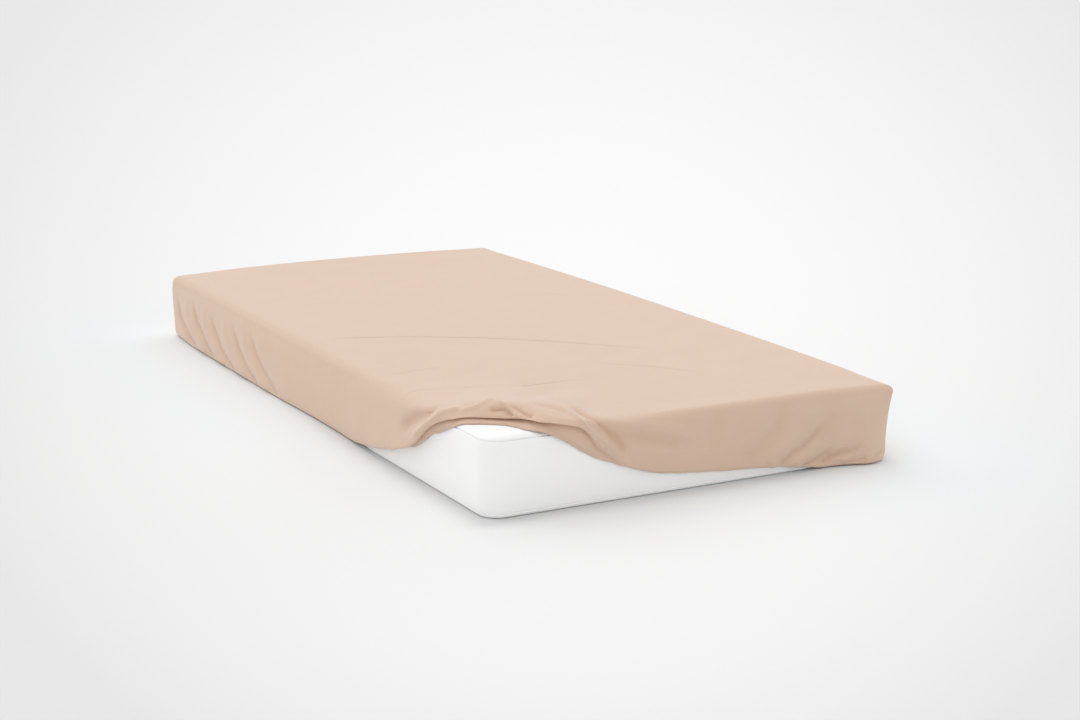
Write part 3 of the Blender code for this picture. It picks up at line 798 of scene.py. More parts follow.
RIGHT_FOLDS = (         # at the right end of the short side
    Fold(((75, -1005, 168), (61, -1005, 160), (39, -1005, 136), (34, -1005, 105), (36, -1005, 80)), 16, -2),
    Fold(((240, -1005, 164), (208, -1005, 142), (190, -1005, 105), (159, -1005, 78), (132, -1005, 61),
          (118, -1005, 36)), 18, -3),
    Fold(((180, -1005, 128), (140, -1005, 96), (112, -1005, 70)), 16, 3),
    Fold(((256, -1008, 96), (222, -1009, 70), (192, -1010, 44), (172, -1011, 22)), 15, 4),
    Fold(((318, -1010, 66), (288, -1011, 48), (262, -1012, 32), (238, -1012, 16)), 10, 4),
    Fold(((440, -1012, 50), (408, -1013, 36), (382, -1014, 24), (356, -1014, 12)), 9, 4),
    Fold(((322, -1009, 100), (285, -1010, 74), (261, -1010, 57), (235, -1011, 46), (212, -1011, 30),
          (196, -1011, 20)), 8, -7, 1.5),
    Fold(((346, -1011, 40), (315, -1012, 29), (281, -1012, 18), (258, -1012, 12)), 6.5, -6, 1.5),
    Fold(((430, -1012, 48), (382, -1015, 33), (355, -1016, 29), (326, -1016, 18),
          (310, -1016, 10)), 7, -7.5, 1.5),
    Fold(((468, -1010, 32), (438, -1020, 19), (416, -1024, 15), (386, -1024, 8)), 6, -4.5, 1.6),
    Fold(((345, -1005, 128), (327, -1005, 99), (300, -1005, 71)), 18, -2.5),
    # the hem's furrow above the foot
    Fold(((250, -1009, 17), (290, -1012, 13), (330, -1016, 10), (370, -1022, 9), (410, -1028, 9),
          (450, -1026, 9),
          (482, -1012, 12), (502, -985, 14)), 3.2, -1.8, 1.8),
)
HIDDEN_GATHERS = (      # at the two far corners, drawn as the left ones are
    Fold(((505, -905, 120), (505, -870, 70), (505, -790, 26), (505, -720, 2)), 12, -5, 1.5),
    Fold(((505, -770, 128), (505, -735, 82), (505, -655, 30), (505, -590, 2)), 12, -5, 1.5),
    Fold(((505, -610, 110), (505, -580, 70), (505, -510, 24), (505, -450, 2)), 12, -4, 1.5),
    Fold(((505, 905, 112), (505, 850, 62), (505, 760, 18), (505, 700, 0)), 12, -5, 1.5),
    Fold(((505, 770, 120), (505, 725, 76), (505, 640, 28), (505, 570, 2)), 12, -5, 1.5),
    Fold(((505, 560, 104), (505, 520, 64), (505, 450, 24), (505, 400, 2)), 12, -4, 1.5),
    Fold(((-420, 1005, 116), (-382, 1005, 66), (-310, 1005, 24), (-250, 1005, 2)), 12, -5, 1.5),
    Fold(((-300, 1005, 112), (-262, 1005, 70), (-190, 1005, 26), (-130, 1005, 2)), 12, -4.5, 1.5),
    Fold(((425, 1005, 120), (386, 1005, 70), (320, 1005, 26), (262, 1005, 2)), 12, -5, 1.5),
    Fold(((290, 1005, 104), (255, 1005, 62), (190, 1005, 24), (140, 1005, 2)), 12, -4, 1.5),
)
CORNER_FOLDS = (
    # the sharp ridge that crosses the puff and runs down to the hem, and the valley beside it
    Fold(((-307, -925, 202), (-304, -969, 197), (-302, -995, 192), (-296, -1018, 185), (-285, -1026, 172),
          (-261, -1026, 149), (-236, -1024, 130), (-207, -1022, 100), (-184, -1018, 76)), 5, 6.5, 1.3),
    Fold(((-283, -928, 197), (-274, -945, 193), (-269, -965, 187), (-264, -989, 182), (-254, -1004, 173),
          (-231, -1007, 154), (-207, -1006, 130), (-186, -1006, 104)), 9, -9, 1.5),
    # the soft edge and the hollow under it, right of that valley
    Fold(((-235, -1010, 173), (-201, -1012, 165), (-154, -1012, 154), (-104, -1010, 140), (-55, -1009, 126),
          (-10, -1009, 116)), 13, 5),
    Fold(((-236, -1007, 157), (-201, -1011, 145), (-152, -1009, 131), (-104, -1010, 117),
          (-55, -1010, 105)), 13, -4),
    # the pinch in the puff's front, and the slack on its right
    Fold(((-437, -878, 199), (-427, -889, 197), (-417, -897, 198), (-410, -906, 198), (-406, -916, 193),
          (-402, -929, 188)), 6, -8, 1.5),
    Fold(((-417, -864, 208), (-410, -879, 208), (-407, -894, 207), (-404, -911, 201), (-400, -926, 194),
          (-394, -941, 191), (-388, -952, 190)), 4.5, 4.5, 1.4),
    Fold(((-398, -906, 204), (-394, -925, 202), (-390, -942, 197), (-385, -959, 194),
          (-379, -972, 193)), 6, -6, 1.6),
    Fold(((-361, -912, 207), (-336, -939, 204), (-317, -959, 200), (-305, -989, 197)), 13, -4),
    Fold(((-495, -850, 191), (-475, -853, 196), (-460, -855, 200), (-442, -855, 204), (-424, -852, 207),
          (-408, -853, 208)), 7, 4),
    # the trough and the ridge left of the slipped corner
    Fold(((-516, -618, 102), (-511, -649, 120), (-511, -690, 141), (-512, -733, 159), (-511, -765, 174),
          (-492, -778, 182)), 15, -9),
    Fold(((-522, -681, 87), (-522, -702, 108), (-524, -733, 129), (-523, -765, 151), (-518, -795, 171),
          (-510, -813, 186), (-498, -830, 194), (-478, -846, 198)), 8, 6, 1.6),
    # a trough and a ridge in the band under the puff
    Fold(((-506, -738, 118), (-505, -765, 128), (-505, -806, 143), (-503, -840, 157),
          (-496, -863, 167)), 3.5, -3),
    Fold(((-378, -996, 176), (-361, -1002, 169), (-348, -1003, 164), (-330, -1004, 150),
          (-318, -1004, 138)), 5, 3),
)


def billows(gathers, width, height):
    """Soft ridges half way between neighbouring gathers, where the cloth stands off."""
    return tuple(
        Fold(tuple(map(tuple, (np.array(one.path) + np.array(other.path)) / 2)), width, height)
        for one, other in zip(gathers, gathers[1:])
    )


FOLDS = LEFT_GATHERS + billows(LEFT_GATHERS, 17, 4) + RIGHT_FOLDS + HIDDEN_GATHERS + CORNER_FOLDS


def point_normals(points):
    """Outward normal at each point, from the faces round it."""
    normals = np.zeros_like(points)
    for faces, ends in ((quads, (0, 2, 1, 3)), (flat_triangles, (0, 1, 0, 2))):
        corners = points[faces]
        along = corners[:, ends[1]] - corners[:, ends[0]]
        across = corners[:, ends[3]] - corners[:, ends[2]]
        normal = np.cross(along, across)
        for corner in range(faces.shape[1]):
            np.add.at(normals, faces[:, corner], normal)
    return normals / np.linalg.norm(normals, axis=1)[:, None]


def laid_on(points, normals, path):
    """A path moved along the normals onto the surface, and the normals there."""
    path = smooth_path(path, FOLD_STEP)
    near = [int(((points - place) ** 2).sum(1).argmin()) for place in path]
    lift = ((path - points[near]) * normals[near]).sum(1)
    return path - normals[near] * lift[:, None], normals[near]


def beside_path(points, path, reach):
    """For the points within reach of a path: distance, share of the way along, and nearest step."""
    low, high = path.min(0) - reach, path.max(0) + reach
    close = np.flatnonzero(((points > low) & (points < high)).all(1))
    away = np.full(len(close), np.inf)
    where = np.zeros(len(close))
    step = np.zeros(len(close), int)
    for i, (a, b) in enumerate(zip(path, path[1:])):
        t = np.clip((points[close] - a) @ (b - a) / ((b - a) @ (b - a)), 0, 1)
        gap = np.linalg.norm(points[close] - a - t[:, None] * (b - a), axis=1)
        nearer = gap < away
        away[nearer] = gap[nearer]
        where[nearer] = ((i + t) / (len(path) - 1))[nearer]
        step[nearer] = i
    return close, away, where, step


def fold_heights(points, normals, folds):
    """Sum of all folds' heights at each point."""
    heights = np.zeros(len(points))
    for fold in folds:
        width = fold.width * MM
        path, facing = laid_on(points, normals, fold.path)
        close, away, where, step = beside_path(points, path, 4 * width)
        same_layer = np.clip((normals[close] * facing[step]).sum(1), 0, 1)
        fade = ramp(where, *FOLD_RISE) * ramp(1 - where, *FOLD_END) * same_layer
        heights[close] += fold.height * MM * fade * np.exp(-((away / width) ** fold.sharp))
    return heights


normals = point_normals(points)
heights = fold_heights(points, normals, FOLDS) * ramp(points[:, 2], *FOLDS_FADE)
points = points + normals * heights[:, None]
print(len(FOLDS), "folds move points by up to", round(float(np.abs(heights).max()) / MM, 1), "mm")

# %% [markdown]
# The rest of the unevenness is slight: slow waves in the walls, fainter ones on the top, small ripples
# near the loose hem and the furrows of the creases. A trough may not cut into the foam, so points that
# would lie inside are moved back out. Then the ears are pulled, and the cloth follows the foam's crown,
# its pressed edges and its sinking corners by the same functions that shaped the mattress. How deep a
# point lies in a fold, and how near the crease under the puff, is kept too: the finish paints shade there.

# %% Waves, creases and crown
WALL_WAVE = (150 * MM, 1.1 * MM)    # size and height
TOP_WAVE = (260 * MM, 0.5 * MM)
HEM_RIPPLE = (24 * MM, 0.9 * MM)
HEM_RIPPLE_REACH = 26 * MM
CLEAR_TROUGH = 1.8 * MM         # how near the mattress's side a trough may come
# Painted shade: troughs and the crease under the puff are painted darker, standing in for the shade in them.
TROUGH_DEPTH = 7 * MM           # at which a trough is darkest
TROUGH_SHADE = 0.28
PUFF_CREASE_SHADE = Groove(0.85, 0.055, 1)    # under the puff, in steps along the section
PUFF_CREASE_SHADE_REACH = 260 * MM
CREASE_WIDTH = 3.2 * MM
CREASE_REACH = 60 * MM
CREASE_FADE = (15 * MM, 27 * MM)
CREASE_ENDS = (0.2, 0.3)        # shares of a crease over which it begins and ends
CREASES_ABOVE = 0.95 * MATTRESS_HEIGHT
BESIDE_FROM = (3 * MM, 10 * MM)         # height over which the mattress's side begins
BESIDE_UPTO = 0.88 * MATTRESS_HEIGHT    # and from which it turns into the shoulder
DEEPEST_CUT = 20 * MM
WALL_UPTO = 0.8 * MATTRESS_HEIGHT
LOOSE_FROM = (10 * MM, 40 * MM)         # height over which a lifted hem gets loose


def waves(points, size):
    """Smooth noise of this size at each point, round 0."""
    return np.array([noise.noise(Vector(p) / size) for p in points.tolist()])


def crease_marks(points):
    """Distance to the nearest crease, plus on its left and minus on its right, and its depth in mm."""
    side = np.full(len(points), CREASE_REACH)
    depth = np.zeros(len(points))
    on_top = points[:, 2] > CREASES_ABOVE
    for crease in TOP_CREASES:
        path = smooth_path(crease.path, 3 * CREASE_STEP)
        close, away, where, step = beside_path(points[:, :2], path, CREASE_REACH)
        along, offset = path[step + 1] - path[step], points[close, :2] - path[step]
        turn = np.sign(along[:, 0] * offset[:, 1] - along[:, 1] * offset[:, 0])
        fade = ramp(where, 0, CREASE_ENDS[0]) * ramp(1 - where, 0, CREASE_ENDS[1])
        fade = fade * (1 - ramp(away, *CREASE_FADE))
        nearer = (away < np.abs(side[close])) & on_top[close]
        side[close[nearer]] = (turn * away)[nearer]
        depth[close[nearer]] = (crease.depth * fade)[nearer]
    return side, depth


def keep_outside(points):
    """Points moved straight out where a trough would cut into the mattress's sides."""
    beyond = np.abs(points[:, :2]) - (HALF - CORNER_RADIUS)
    out = np.maximum(beyond, 0)
    length = np.maximum(np.hypot(out[:, 0], out[:, 1]), 1e-9)
    gap = length + np.minimum(beyond.max(1), 0) - CORNER_RADIUS
    height = points[:, 2]
    beside = ramp(height, *BESIDE_FROM) * (1 - ramp(height, BESIDE_UPTO, MATTRESS_HEIGHT))
    push = np.clip(CLEAR_TROUGH - gap, 0, DEEPEST_CUT) * beside * (gap > -DEEPEST_CUT)
    moved = points.copy()
    moved[:, :2] += np.sign(points[:, :2]) * out / length[:, None] * push[:, None]
    return moved


def hem_distance():
    """How far each point of the sections lies from the hem, along the cloth."""
    rows = points[section_grid]
    run_down = lengths_down(rows)
    away = np.full(len(points), 1.0)
    away[section_grid[:, 1:].ravel()] = (run_down[:, -1:] - run_down)[:, 1:].ravel()
    return away


def hollow_shade():
    """Painted shade at each point, from 0 to 1: darker deep in a trough, darkest in the crease under the
    puff.
    """
    place = np.concatenate([place_along(side, runs[:-1]) for side, runs in enumerate(SIDE_RUNS)])
    bare = np.exp(-((place / PUFF_CREASE_SHADE_REACH) ** 4))
    across = np.exp(-(((steps - PUFF_CREASE_SHADE.at) / PUFF_CREASE_SHADE.half_width) ** 2))
    shade = np.clip(-heights / TROUGH_DEPTH, 0, 1) * TROUGH_SHADE
    shade[section_grid] = np.maximum(shade[section_grid], bare[:, None] * across)
    return shade


painted_shade = hollow_shade()
from_hem = hem_distance()
wall = 1 - ramp(points[:, 2], WALL_UPTO, MATTRESS_HEIGHT)
loose = ramp(points[:, 2], *LOOSE_FROM) * np.exp(-((from_hem / HEM_RIPPLE_REACH) ** 2))
drift = waves(points, WALL_WAVE[0]) * WALL_WAVE[1] * wall * ramp(points[:, 2], *FOLDS_FADE)
drift = drift + waves(points, TOP_WAVE[0]) * TOP_WAVE[1] * (1 - wall)
drift = drift + (waves(points, HEM_RIPPLE[0]) + 0.5) * HEM_RIPPLE[1] * loose
crease_side, crease_depth = crease_marks(points)
furrow = crease_depth * MM * np.exp(-(np.abs(crease_side / CREASE_WIDTH) ** 1.5))
furrow[len(flat_points):] = 0
furrow[:len(border)] = 0
drift = drift - furrow
points = ear_pull(keep_outside(points + point_normals(points) * drift[:, None]))
points[:, 2] += crown(points[:, :2]) * ramp(points[:, 2], *CROWN_FADE)
points = points + edge_press(points)
points[:, 2] += edge_rise(points) - corner_sag(points)
print("waves and creases move points by up to", round(float(np.abs(drift).max()) / MM, 1), "mm")


# %% [markdown]
# ## From surface to cloth
# A real sheet has two faces. Solidify gives the surface its wall, outwards from the mattress, and a
# vertex group makes the wall thicker in the hem, where the cotton is turned over the elastic. The flat
# pattern becomes a UV map. The distances from the hem and from the creases, and the painted shade from
# the depth in a fold, become attributes. The finish reads them to draw the hem's seam, the creases'
# sharp bottoms and the painted shade in the folds.

# %% Sheet object
CLOTH = 0.9 * MM
HEM_CLOTH = 1.6 * MM
HEM_WIDTH = 11 * MM
HEM_THINS = (1 * MM, 1.5 * MM)      # over this much before and after its width


def make_sheet():
    """The sheet's surface with its pattern, its marks and a wall."""
    sheet = mesh_object("sheet", points, quads.tolist() + flat_triangles.tolist())
    layer = sheet.data.uv_layers.new(name="pattern")
    flat = np.concatenate([pattern.reshape(-1, 2), flat_xy[flat_triangles].reshape(-1, 2)])
    layer.data.foreach_set("uv", flat.reshape(-1))
    marks = {"from_hem": from_hem, "crease_side": crease_side, "crease_depth": crease_depth, "painted_shade": painted_shade}
    for name, values in marks.items():
        mark = sheet.data.attributes.new(name, "FLOAT", "POINT")
        mark.data.foreach_set("value", values)
    thick = sheet.vertex_groups.new(name="wall")
    in_hem = 1 - ramp(from_hem, HEM_WIDTH - HEM_THINS[0], HEM_WIDTH + HEM_THINS[1])
    for index, share in enumerate(in_hem.tolist()):
        thick.add([index], share + (1 - share) * CLOTH / HEM_CLOTH, "REPLACE")
    wall = sheet.modifiers.new("thickness", "SOLIDIFY")
    wall.thickness = HEM_CLOTH
    wall.offset = 1
    wall.vertex_group = "wall"
    return sheet


sheet = make_sheet()
print("sheet:", len(sheet.data.polygons), "faces on each side")

# %% [markdown]
# ## Hem stitches
# The hem is closed by a straight lockstitch, a stitch every 4.6 mm, all the way round. The stitches
# follow the hem wherever it goes, so they are made by Geometry Nodes: the stitched line becomes a curve,
# the curve becomes evenly spaced points, and each point gets a small spindle of thread. Two turns lay
# it down: first its length along the curve, then one side of it towards the way the cloth faces.

# %% The stitched line
STITCH_LINE = 8.5 * MM      # above the hem's edge
STITCH_SINK = 0.12 * MM     # how far a stitch's middle is below the cloth's face
Stitch = namedtuple("Stitch", "pitch length width")
STITCH = Stitch(4.6 * MM, 3.5 * MM, 0.55 * MM)


def stitched_line():
    """Points of the seam on the hem's outer face, and the direction that the cloth faces there."""
    rows = section_grid
    above = np.argmax(from_hem[rows[:, 1:]] < STITCH_LINE, axis=1)
    station = np.arange(len(rows))
    upper, lower = rows[station, above], rows[station, above + 1]
    share = (from_hem[upper] - STITCH_LINE) / (from_hem[upper] - from_hem[lower])
    share = np.clip(share, 0, 1)[:, None]
    normals = point_normals(points)
    facing = normals[upper] * (1 - share) + normals[lower] * share
    facing = facing / np.linalg.norm(facing, axis=1)[:, None]
    place = points[upper] * (1 - share) + points[lower] * share
    return place + facing * (HEM_CLOTH - STITCH_SINK), facing


def stitch_path():
    """The seam as a closed chain of edges that carries the facing directions."""
    place, facing = stitched_line()
    mesh = bpy.data.meshes.new("hem_stitches")
    mesh.from_pydata(place.tolist(), [(i, (i + 1) % len(place)) for i in range(len(place))], [])
    mesh.attributes.new("facing", "FLOAT_VECTOR", "POINT").data.foreach_set("vector", facing.ravel())
    piece = bpy.data.objects.new("hem_stitches", mesh)
    bpy.context.scene.collection.objects.link(piece)
    return piece


# %% Tree that sews
def add_node(tree, kind, settings=None, inputs=None):
    """A node with its settings, and a value or a link for each named socket."""
    node = tree.nodes.new(kind)
    for name, value in (settings or {}).items():
        setattr(node, name, value)
    for name, value in (inputs or {}).items():
        if isinstance(value, bpy.types.NodeSocket):
            tree.links.new(value, node.inputs[name])
        else:
            node.inputs[name].default_value = value
    return node


def sewing_tree():
    """The Geometry Nodes that lay a stitch at every step of a line."""
    tree = bpy.data.node_groups.new("sew along a line", "GeometryNodeTree")
    face = tree.interface
    face.new_socket("Line", in_out="INPUT", socket_type="NodeSocketGeometry")
    for name in Stitch._fields:
        face.new_socket(name, in_out="INPUT", socket_type="NodeSocketFloat")
    face.new_socket("thread", in_out="INPUT", socket_type="NodeSocketMaterial")
    face.new_socket("Stitches", in_out="OUTPUT", socket_type="NodeSocketGeometry")

    def add(kind, settings=None, inputs=None):
        return add_node(tree, kind, settings, inputs).outputs

    given = add("NodeGroupInput")
    curve = add("GeometryNodeMeshToCurve", None, {"Mesh": given["Line"]})[0]
    spots = add("GeometryNodeCurveToPoints", {"mode": "LENGTH"}, {"Curve": curve, "Length": given["pitch"]})
    align = "FunctionNodeAlignRotationToVector"
    along = add(align, {"axis": "Z"}, {"Vector": spots["Tangent"]})[0]
    facing = add("GeometryNodeInputNamedAttribute", {"data_type": "FLOAT_VECTOR"}, {"Name": "facing"})[0]
    turned = add(align, {"axis": "X", "pivot_axis": "Z"}, {"Rotation": along, "Vector": facing})[0]
    spindle = add("GeometryNodeMeshUVSphere", None, {"Segments": 6, "Rings": 4, "Radius": 0.5})[0]
    width, length = given["width"], given["length"]
    size = add("ShaderNodeCombineXYZ", None, {"X": width, "Y": width, "Z": length})[0]
    sewn = add(
        "GeometryNodeInstanceOnPoints", None,
        {"Points": spots["Points"], "Instance": spindle, "Rotation": turned, "Scale": size},
    )[0]
    solid = add("GeometryNodeRealizeInstances", None, {"Geometry": sewn})[0]
    coloured = add("GeometryNodeSetMaterial", None, {"Geometry": solid, "Material": given["thread"]})[0]
    add("NodeGroupOutput", None, {"Stitches": coloured})
    return tree


def sew(piece, thread):
    """Turn a line into stitches, as a plain mesh."""
    modifier = piece.modifiers.new("sewing", "NODES")
    modifier.node_group = sewing_tree()
    sockets = {item.name: item.identifier for item in modifier.node_group.interface.items_tree}
    for name, value in STITCH._asdict().items():
        modifier[sockets[name]] = value
    modifier[sockets["thread"]] = thread
    sewn = piece.evaluated_get(bpy.context.evaluated_depsgraph_get())
    mesh = bpy.data.meshes.new_from_object(sewn)
    piece.modifiers.remove(modifier)
    piece.data = mesh
    mesh.shade_smooth()
    return piece


hem_stitches = stitch_path()
print("the seam has", len(hem_stitches.data.vertices), "points")


# %% [markdown]
# ## Shader helpers
# Patterns in a shader are sums and products of sockets. The small class below lets them be written as
# Python expressions: each operator adds one Math node. Every other node comes from `add`, which takes
# the node's type, its settings and what goes into its sockets, as `add_node` did for the stitches.

# %% Shader helpers
class Number:
    """A number socket that can be used in sums."""

    def __init__(self, finish, socket):
        self.finish = finish
        self.socket = socket

    def combine(self, operation, *values):
        node = self.finish.add("ShaderNodeMath", {"operation": operation}, dict(enumerate(values)))
        return Number(self.finish, node.outputs[0])

    def __add__(self, other):
        return self.combine("ADD", self, other)

    def __sub__(self, other):
        return self.combine("SUBTRACT", self, other)

    def __rsub__(self, other):
        return self.combine("SUBTRACT", other, self)

    def __mul__(self, other):
        return self.combine("MULTIPLY", self, other)

    def __truediv__(self, other):
        return self.combine("DIVIDE", self, other)

    def __rtruediv__(self, other):
        return self.combine("DIVIDE", other, self)

    __radd__ = __add__
    __rmul__ = __mul__

    def sine(self):
        return self.combine("SINE", self)


class Finish:
    """A material under construction."""

    def __init__(self, name):
        self.material = bpy.data.materials.new(name)
        self.material.use_nodes = True
        self.tree = self.material.node_tree
        self.tree.nodes.clear()

    def add(self, kind, settings=None, inputs=None):
        plain = {
            name: value.socket if isinstance(value, Number) else value
            for name, value in (inputs or {}).items()
        }
        return add_node(self.tree, kind, settings, plain)

    def number(self, node, output=0):
        return Number(self, node.outputs[output])

    def surface(self, **inputs):
        named = {name.replace("_", " "): value for name, value in inputs.items()}
        shader = self.add("ShaderNodeBsdfPrincipled", None, named)
        self.add("ShaderNodeOutputMaterial", None, {"Surface": shader.outputs[0]})
        return self.material


# %% [markdown]
# ## Finishes
# Cloth gets its look from threads, seams and small unevenness. An image could show them, but it would
# blur close up, so they are worked out by formulas, in real millimetres, from a point's place on the
# piece or on the flat cloth. The helpers below are what the finishes share.

# %% Pattern helpers
def stretched_noise(f, place, size, detail=2):
    """Noise of this size in mm along each axis, from 0 to 1."""
    inverse = tuple(1 / (length * MM) for length in size)
    place = f.add("ShaderNodeVectorMath", {"operation": "MULTIPLY"}, {0: place, 1: inverse}).outputs[0]
    return f.number(f.add("ShaderNodeTexNoise", None, {"Vector": place, "Scale": 1.0, "Detail": detail}))


def smooth_step(f, value, start, end):
    """The same as `ramp`, for a socket."""
    limits = {"Value": value, "From Min": start, "From Max": end}
    return f.number(f.add("ShaderNodeMapRange", {"interpolation_type": "SMOOTHSTEP"}, limits))


def bell(f, value):
    """1 where the value is 0, falling to 0 at 2 on both sides."""
    square = value * value
    return f.number(f.add("ShaderNodeMath", {"operation": "POWER"}, {0: 2.718, 1: 0 - square}))


def tinted(f, colour, light):
    """A colour made lighter or darker by a number socket round 1."""
    grey = f.add("ShaderNodeCombineXYZ", None, {"X": light, "Y": light, "Z": light}).outputs[0]
    return f.add("ShaderNodeVectorMath", {"operation": "MULTIPLY"}, {0: grey, 1: colour}).outputs[0]


def bumped(f, height):
    """A normal from a height in millimetres."""
    return f.add("ShaderNodeBump", None, {"Strength": 1.0, "Distance": MM, "Height": height}).outputs[0]


# %% [markdown]
# The cotton is a plain weave, and as on the real cloth some weft threads are thicker for a few
# centimetres. These slubs run one way only, so on the short side they lie level and on the long side they
# hang down. Under them are a very fine weave, a soft crumple and a faint mottling of the colour, and along
# the hem the seam draws a furrow. Deep in a fold and in the crease under the puff the colour is painted
# darker and redder: painted shade, for the light that bounces from cloth to cloth there. The creases on
# the top are painted darker too: painted shade along them.

# %% Sheet cloth
SHEET_COLOUR = (0.685, 0.499, 0.375)
THREAD_COLOUR = (0.71, 0.53, 0.41)
WEAVE_PITCH = 0.9       # mm
WEAVE_HEIGHT = 0.02
SLUB_SIZE = (42, 3.6, 10)
SLUB_HEIGHT = 0.1
CRUMPLE_SIZE = (38, 30, 30)
CRUMPLE_HEIGHT = 0.5
SEAM_WIDTH = 1.3 * MM
SEAM_DEPTH = 0.35
SEAM_TINT = 0.05
MOTTLE_SIZE = (90, 70, 70)
MOTTLE_TINT = 0.05
CREASE_SHARPNESS = 2.6 * MM
CREASE_GROOVE = 0.9
# Painted shade: how much darker the colour is painted along the bottom of a crease.
CREASE_PAINTED_SHADE = 0.14
# Painted shade: how much of red, green and blue is taken away deep in a fold and in the crease under the
# puff.
PAINTED_SHADE_LOSS = (0.24, 0.36, 0.44)    # of red, green and blue, deep in a fold


def sheet_cloth():
    f = Finish("sheet_cloth")
    flat = f.add("ShaderNodeUVMap", {"uv_map": "pattern"}).outputs[0]
    split = f.add("ShaderNodeSeparateXYZ", None, {0: flat})
    turn = 2 * np.pi / (WEAVE_PITCH * MM)
    weave = (f.number(split, 0) * turn).sine() * (f.number(split, 1) * turn).sine()
    slub = smooth_step(f, stretched_noise(f, flat, SLUB_SIZE), 0.52, 0.72)
    crumple = stretched_noise(f, flat, CRUMPLE_SIZE, 3)
    mottle = stretched_noise(f, flat, MOTTLE_SIZE, 4) - 0.5
    mark = {name: f.number(f.add("ShaderNodeAttribute", {"attribute_name": name}), 2)
            for name in ("from_hem", "crease_side", "crease_depth", "painted_shade")}
    seam = bell(f, (mark["from_hem"] - STITCH_LINE) / SEAM_WIDTH)
    crease = bell(f, mark["crease_side"] / CREASE_SHARPNESS) * mark["crease_depth"]
    height = weave * WEAVE_HEIGHT + slub * SLUB_HEIGHT + crumple * CRUMPLE_HEIGHT
    height = height - seam * SEAM_DEPTH - crease * CREASE_GROOVE
    # Painted shade along the creases, beside the mottling, slubs, weave and seam in the colour.
    light = 1 + mottle * MOTTLE_TINT + slub * 0.012 + weave * 0.02 - seam * SEAM_TINT - crease * CREASE_PAINTED_SHADE
    # Painted shade: the colour is darker and redder deep in a fold and in the crease under the puff.
    kept = (1 - mark["painted_shade"] * loss for loss in PAINTED_SHADE_LOSS)
    kept = f.add("ShaderNodeCombineXYZ", None, dict(zip("XYZ", kept))).outputs[0]
    cotton = tinted(f, SHEET_COLOUR, light)
    cotton = f.add("ShaderNodeVectorMath", {"operation": "MULTIPLY"}, {0: cotton, 1: kept}).outputs[0]
    return f.surface(
        Base_Color=cotton, Roughness=0.92 - slub * 0.04, Normal=bumped(f, height),
        Sheen_Weight=0.4, Sheen_Roughness=0.4,
    )


def thread():
    f = Finish("thread")
    place = f.add("ShaderNodeTexCoord").outputs["Object"]
    twist = stretched_noise(f, place, (0.5, 0.5, 0.5), 1) - 0.5
    return f.surface(
        Base_Color=tinted(f, THREAD_COLOUR, 1 + twist * 0.1), Roughness=0.8, Normal=bumped(f, twist * 0.1),
        Sheen_Weight=0.3,
    )


sheet.data.materials.append(sheet_cloth())
print("the sheet's finish has", len(sheet.data.materials[0].node_tree.nodes), "nodes")

# %% [markdown]
# The mattress cover is a white knit. Its loops are rows of small dimples about two millimetres apart,
# with a slight crumple where the cover is loose on the foam.

# %% Cover cloth
COVER_COLOUR = (0.965, 0.965, 0.96)
LOOP_PITCH = (2.2, 2.2, 1.6)    # mm
LOOP_DEPTH = 0.012
COVER_CRUMPLE_SIZE = (60, 60, 45)
COVER_CRUMPLE_HEIGHT = 0.4
COVER_MOTTLE_SIZE = (70, 70, 40)


def cover_cloth():
    f = Finish("cover_cloth")
    place = f.add("ShaderNodeTexCoord").outputs["Object"]
    split = f.add("ShaderNodeSeparateXYZ", None, {0: place})
    turns = [2 * np.pi / (pitch * MM) for pitch in LOOP_PITCH]
    rows = [(f.number(split, axis) * turn).sine() for axis, turn in enumerate(turns)]
    knit = rows[0] * rows[1] + rows[2] * (rows[0] + rows[1])
    crumple = stretched_noise(f, place, COVER_CRUMPLE_SIZE, 2)
    mottle = stretched_noise(f, place, COVER_MOTTLE_SIZE, 3) - 0.5
    light = 1 + mottle * 0.015 + knit * 0.004
    return f.surface(
        Base_Color=tinted(f, COVER_COLOUR, light), Roughness=0.88 + mottle * 0.05,
        Normal=bumped(f, knit * LOOP_DEPTH + crumple * COVER_CRUMPLE_HEIGHT), Sheen_Weight=0.15,
    )


mattress.data.materials.append(cover_cloth())
sew(hem_stitches, thread())
print("hem stitches:", len(hem_stitches.data.polygons), "faces")


# %% [markdown]
# ## Floor and light
# The picture was made in a white studio: soft light from all round, a broad soft light from above and
# a little to the left, and a white floor that is brightest round the object and falls off evenly
# towards all sides. The world gives the first, a sun with a very wide disc the second. The falloff is
# painted light in the floor's paint, from two ratios on the ground: sideways over forwards, and one over
# forwards. The paint also takes back the warm colour that the sheet throws on the white floor. It holds
# painted shade in a narrow darker strip at the foot of the two near sides, where little light gets in,
# and faintly round the bare corner, and painted light just beyond the far sides.

# %% Floor
FLOOR_HALF = 40
FLOOR_BELOW = 0.3 * MM
FLOOR_WHITE = 0.905
FLOOR_DARKEST = 0.74
FLOOR_FALLOFF = (1.57, 2.23)        # to the sides, and to the front and back
FLOOR_MIDDLE = (0.0155, 0.2325)     # both ratios where the floor is brightest
GLOW_REACH = 0.3                    # how far the sheet's colour would warm the floor
GLOW_BACK = (0.016, 0.018, 0.04)    # red taken away, and green and blue added, against that
GLOW_FROM = (0.35, 1.0)             # distance from the bare corner, where the foam is white
CONTACT = 0.22                      # how much darker the floor is where the object touches it
CONTACT_REACH = 38 * MM
CONTACT_FADE = (0.6, 1.15)          # distance from the bare corner over which the strip gets weaker
CONTACT_FADED = 0.7
CONTACT_ENDS = (-120 * MM, 10 * MM)     # where it ends, from the far sides
CORNER_SHADE = (0.5, 0.05)          # reach and strength of the shade round the bare corner
FAR_LIGHT = (0.14, 0.07)            # reach and strength of the lighter floor beyond the far sides


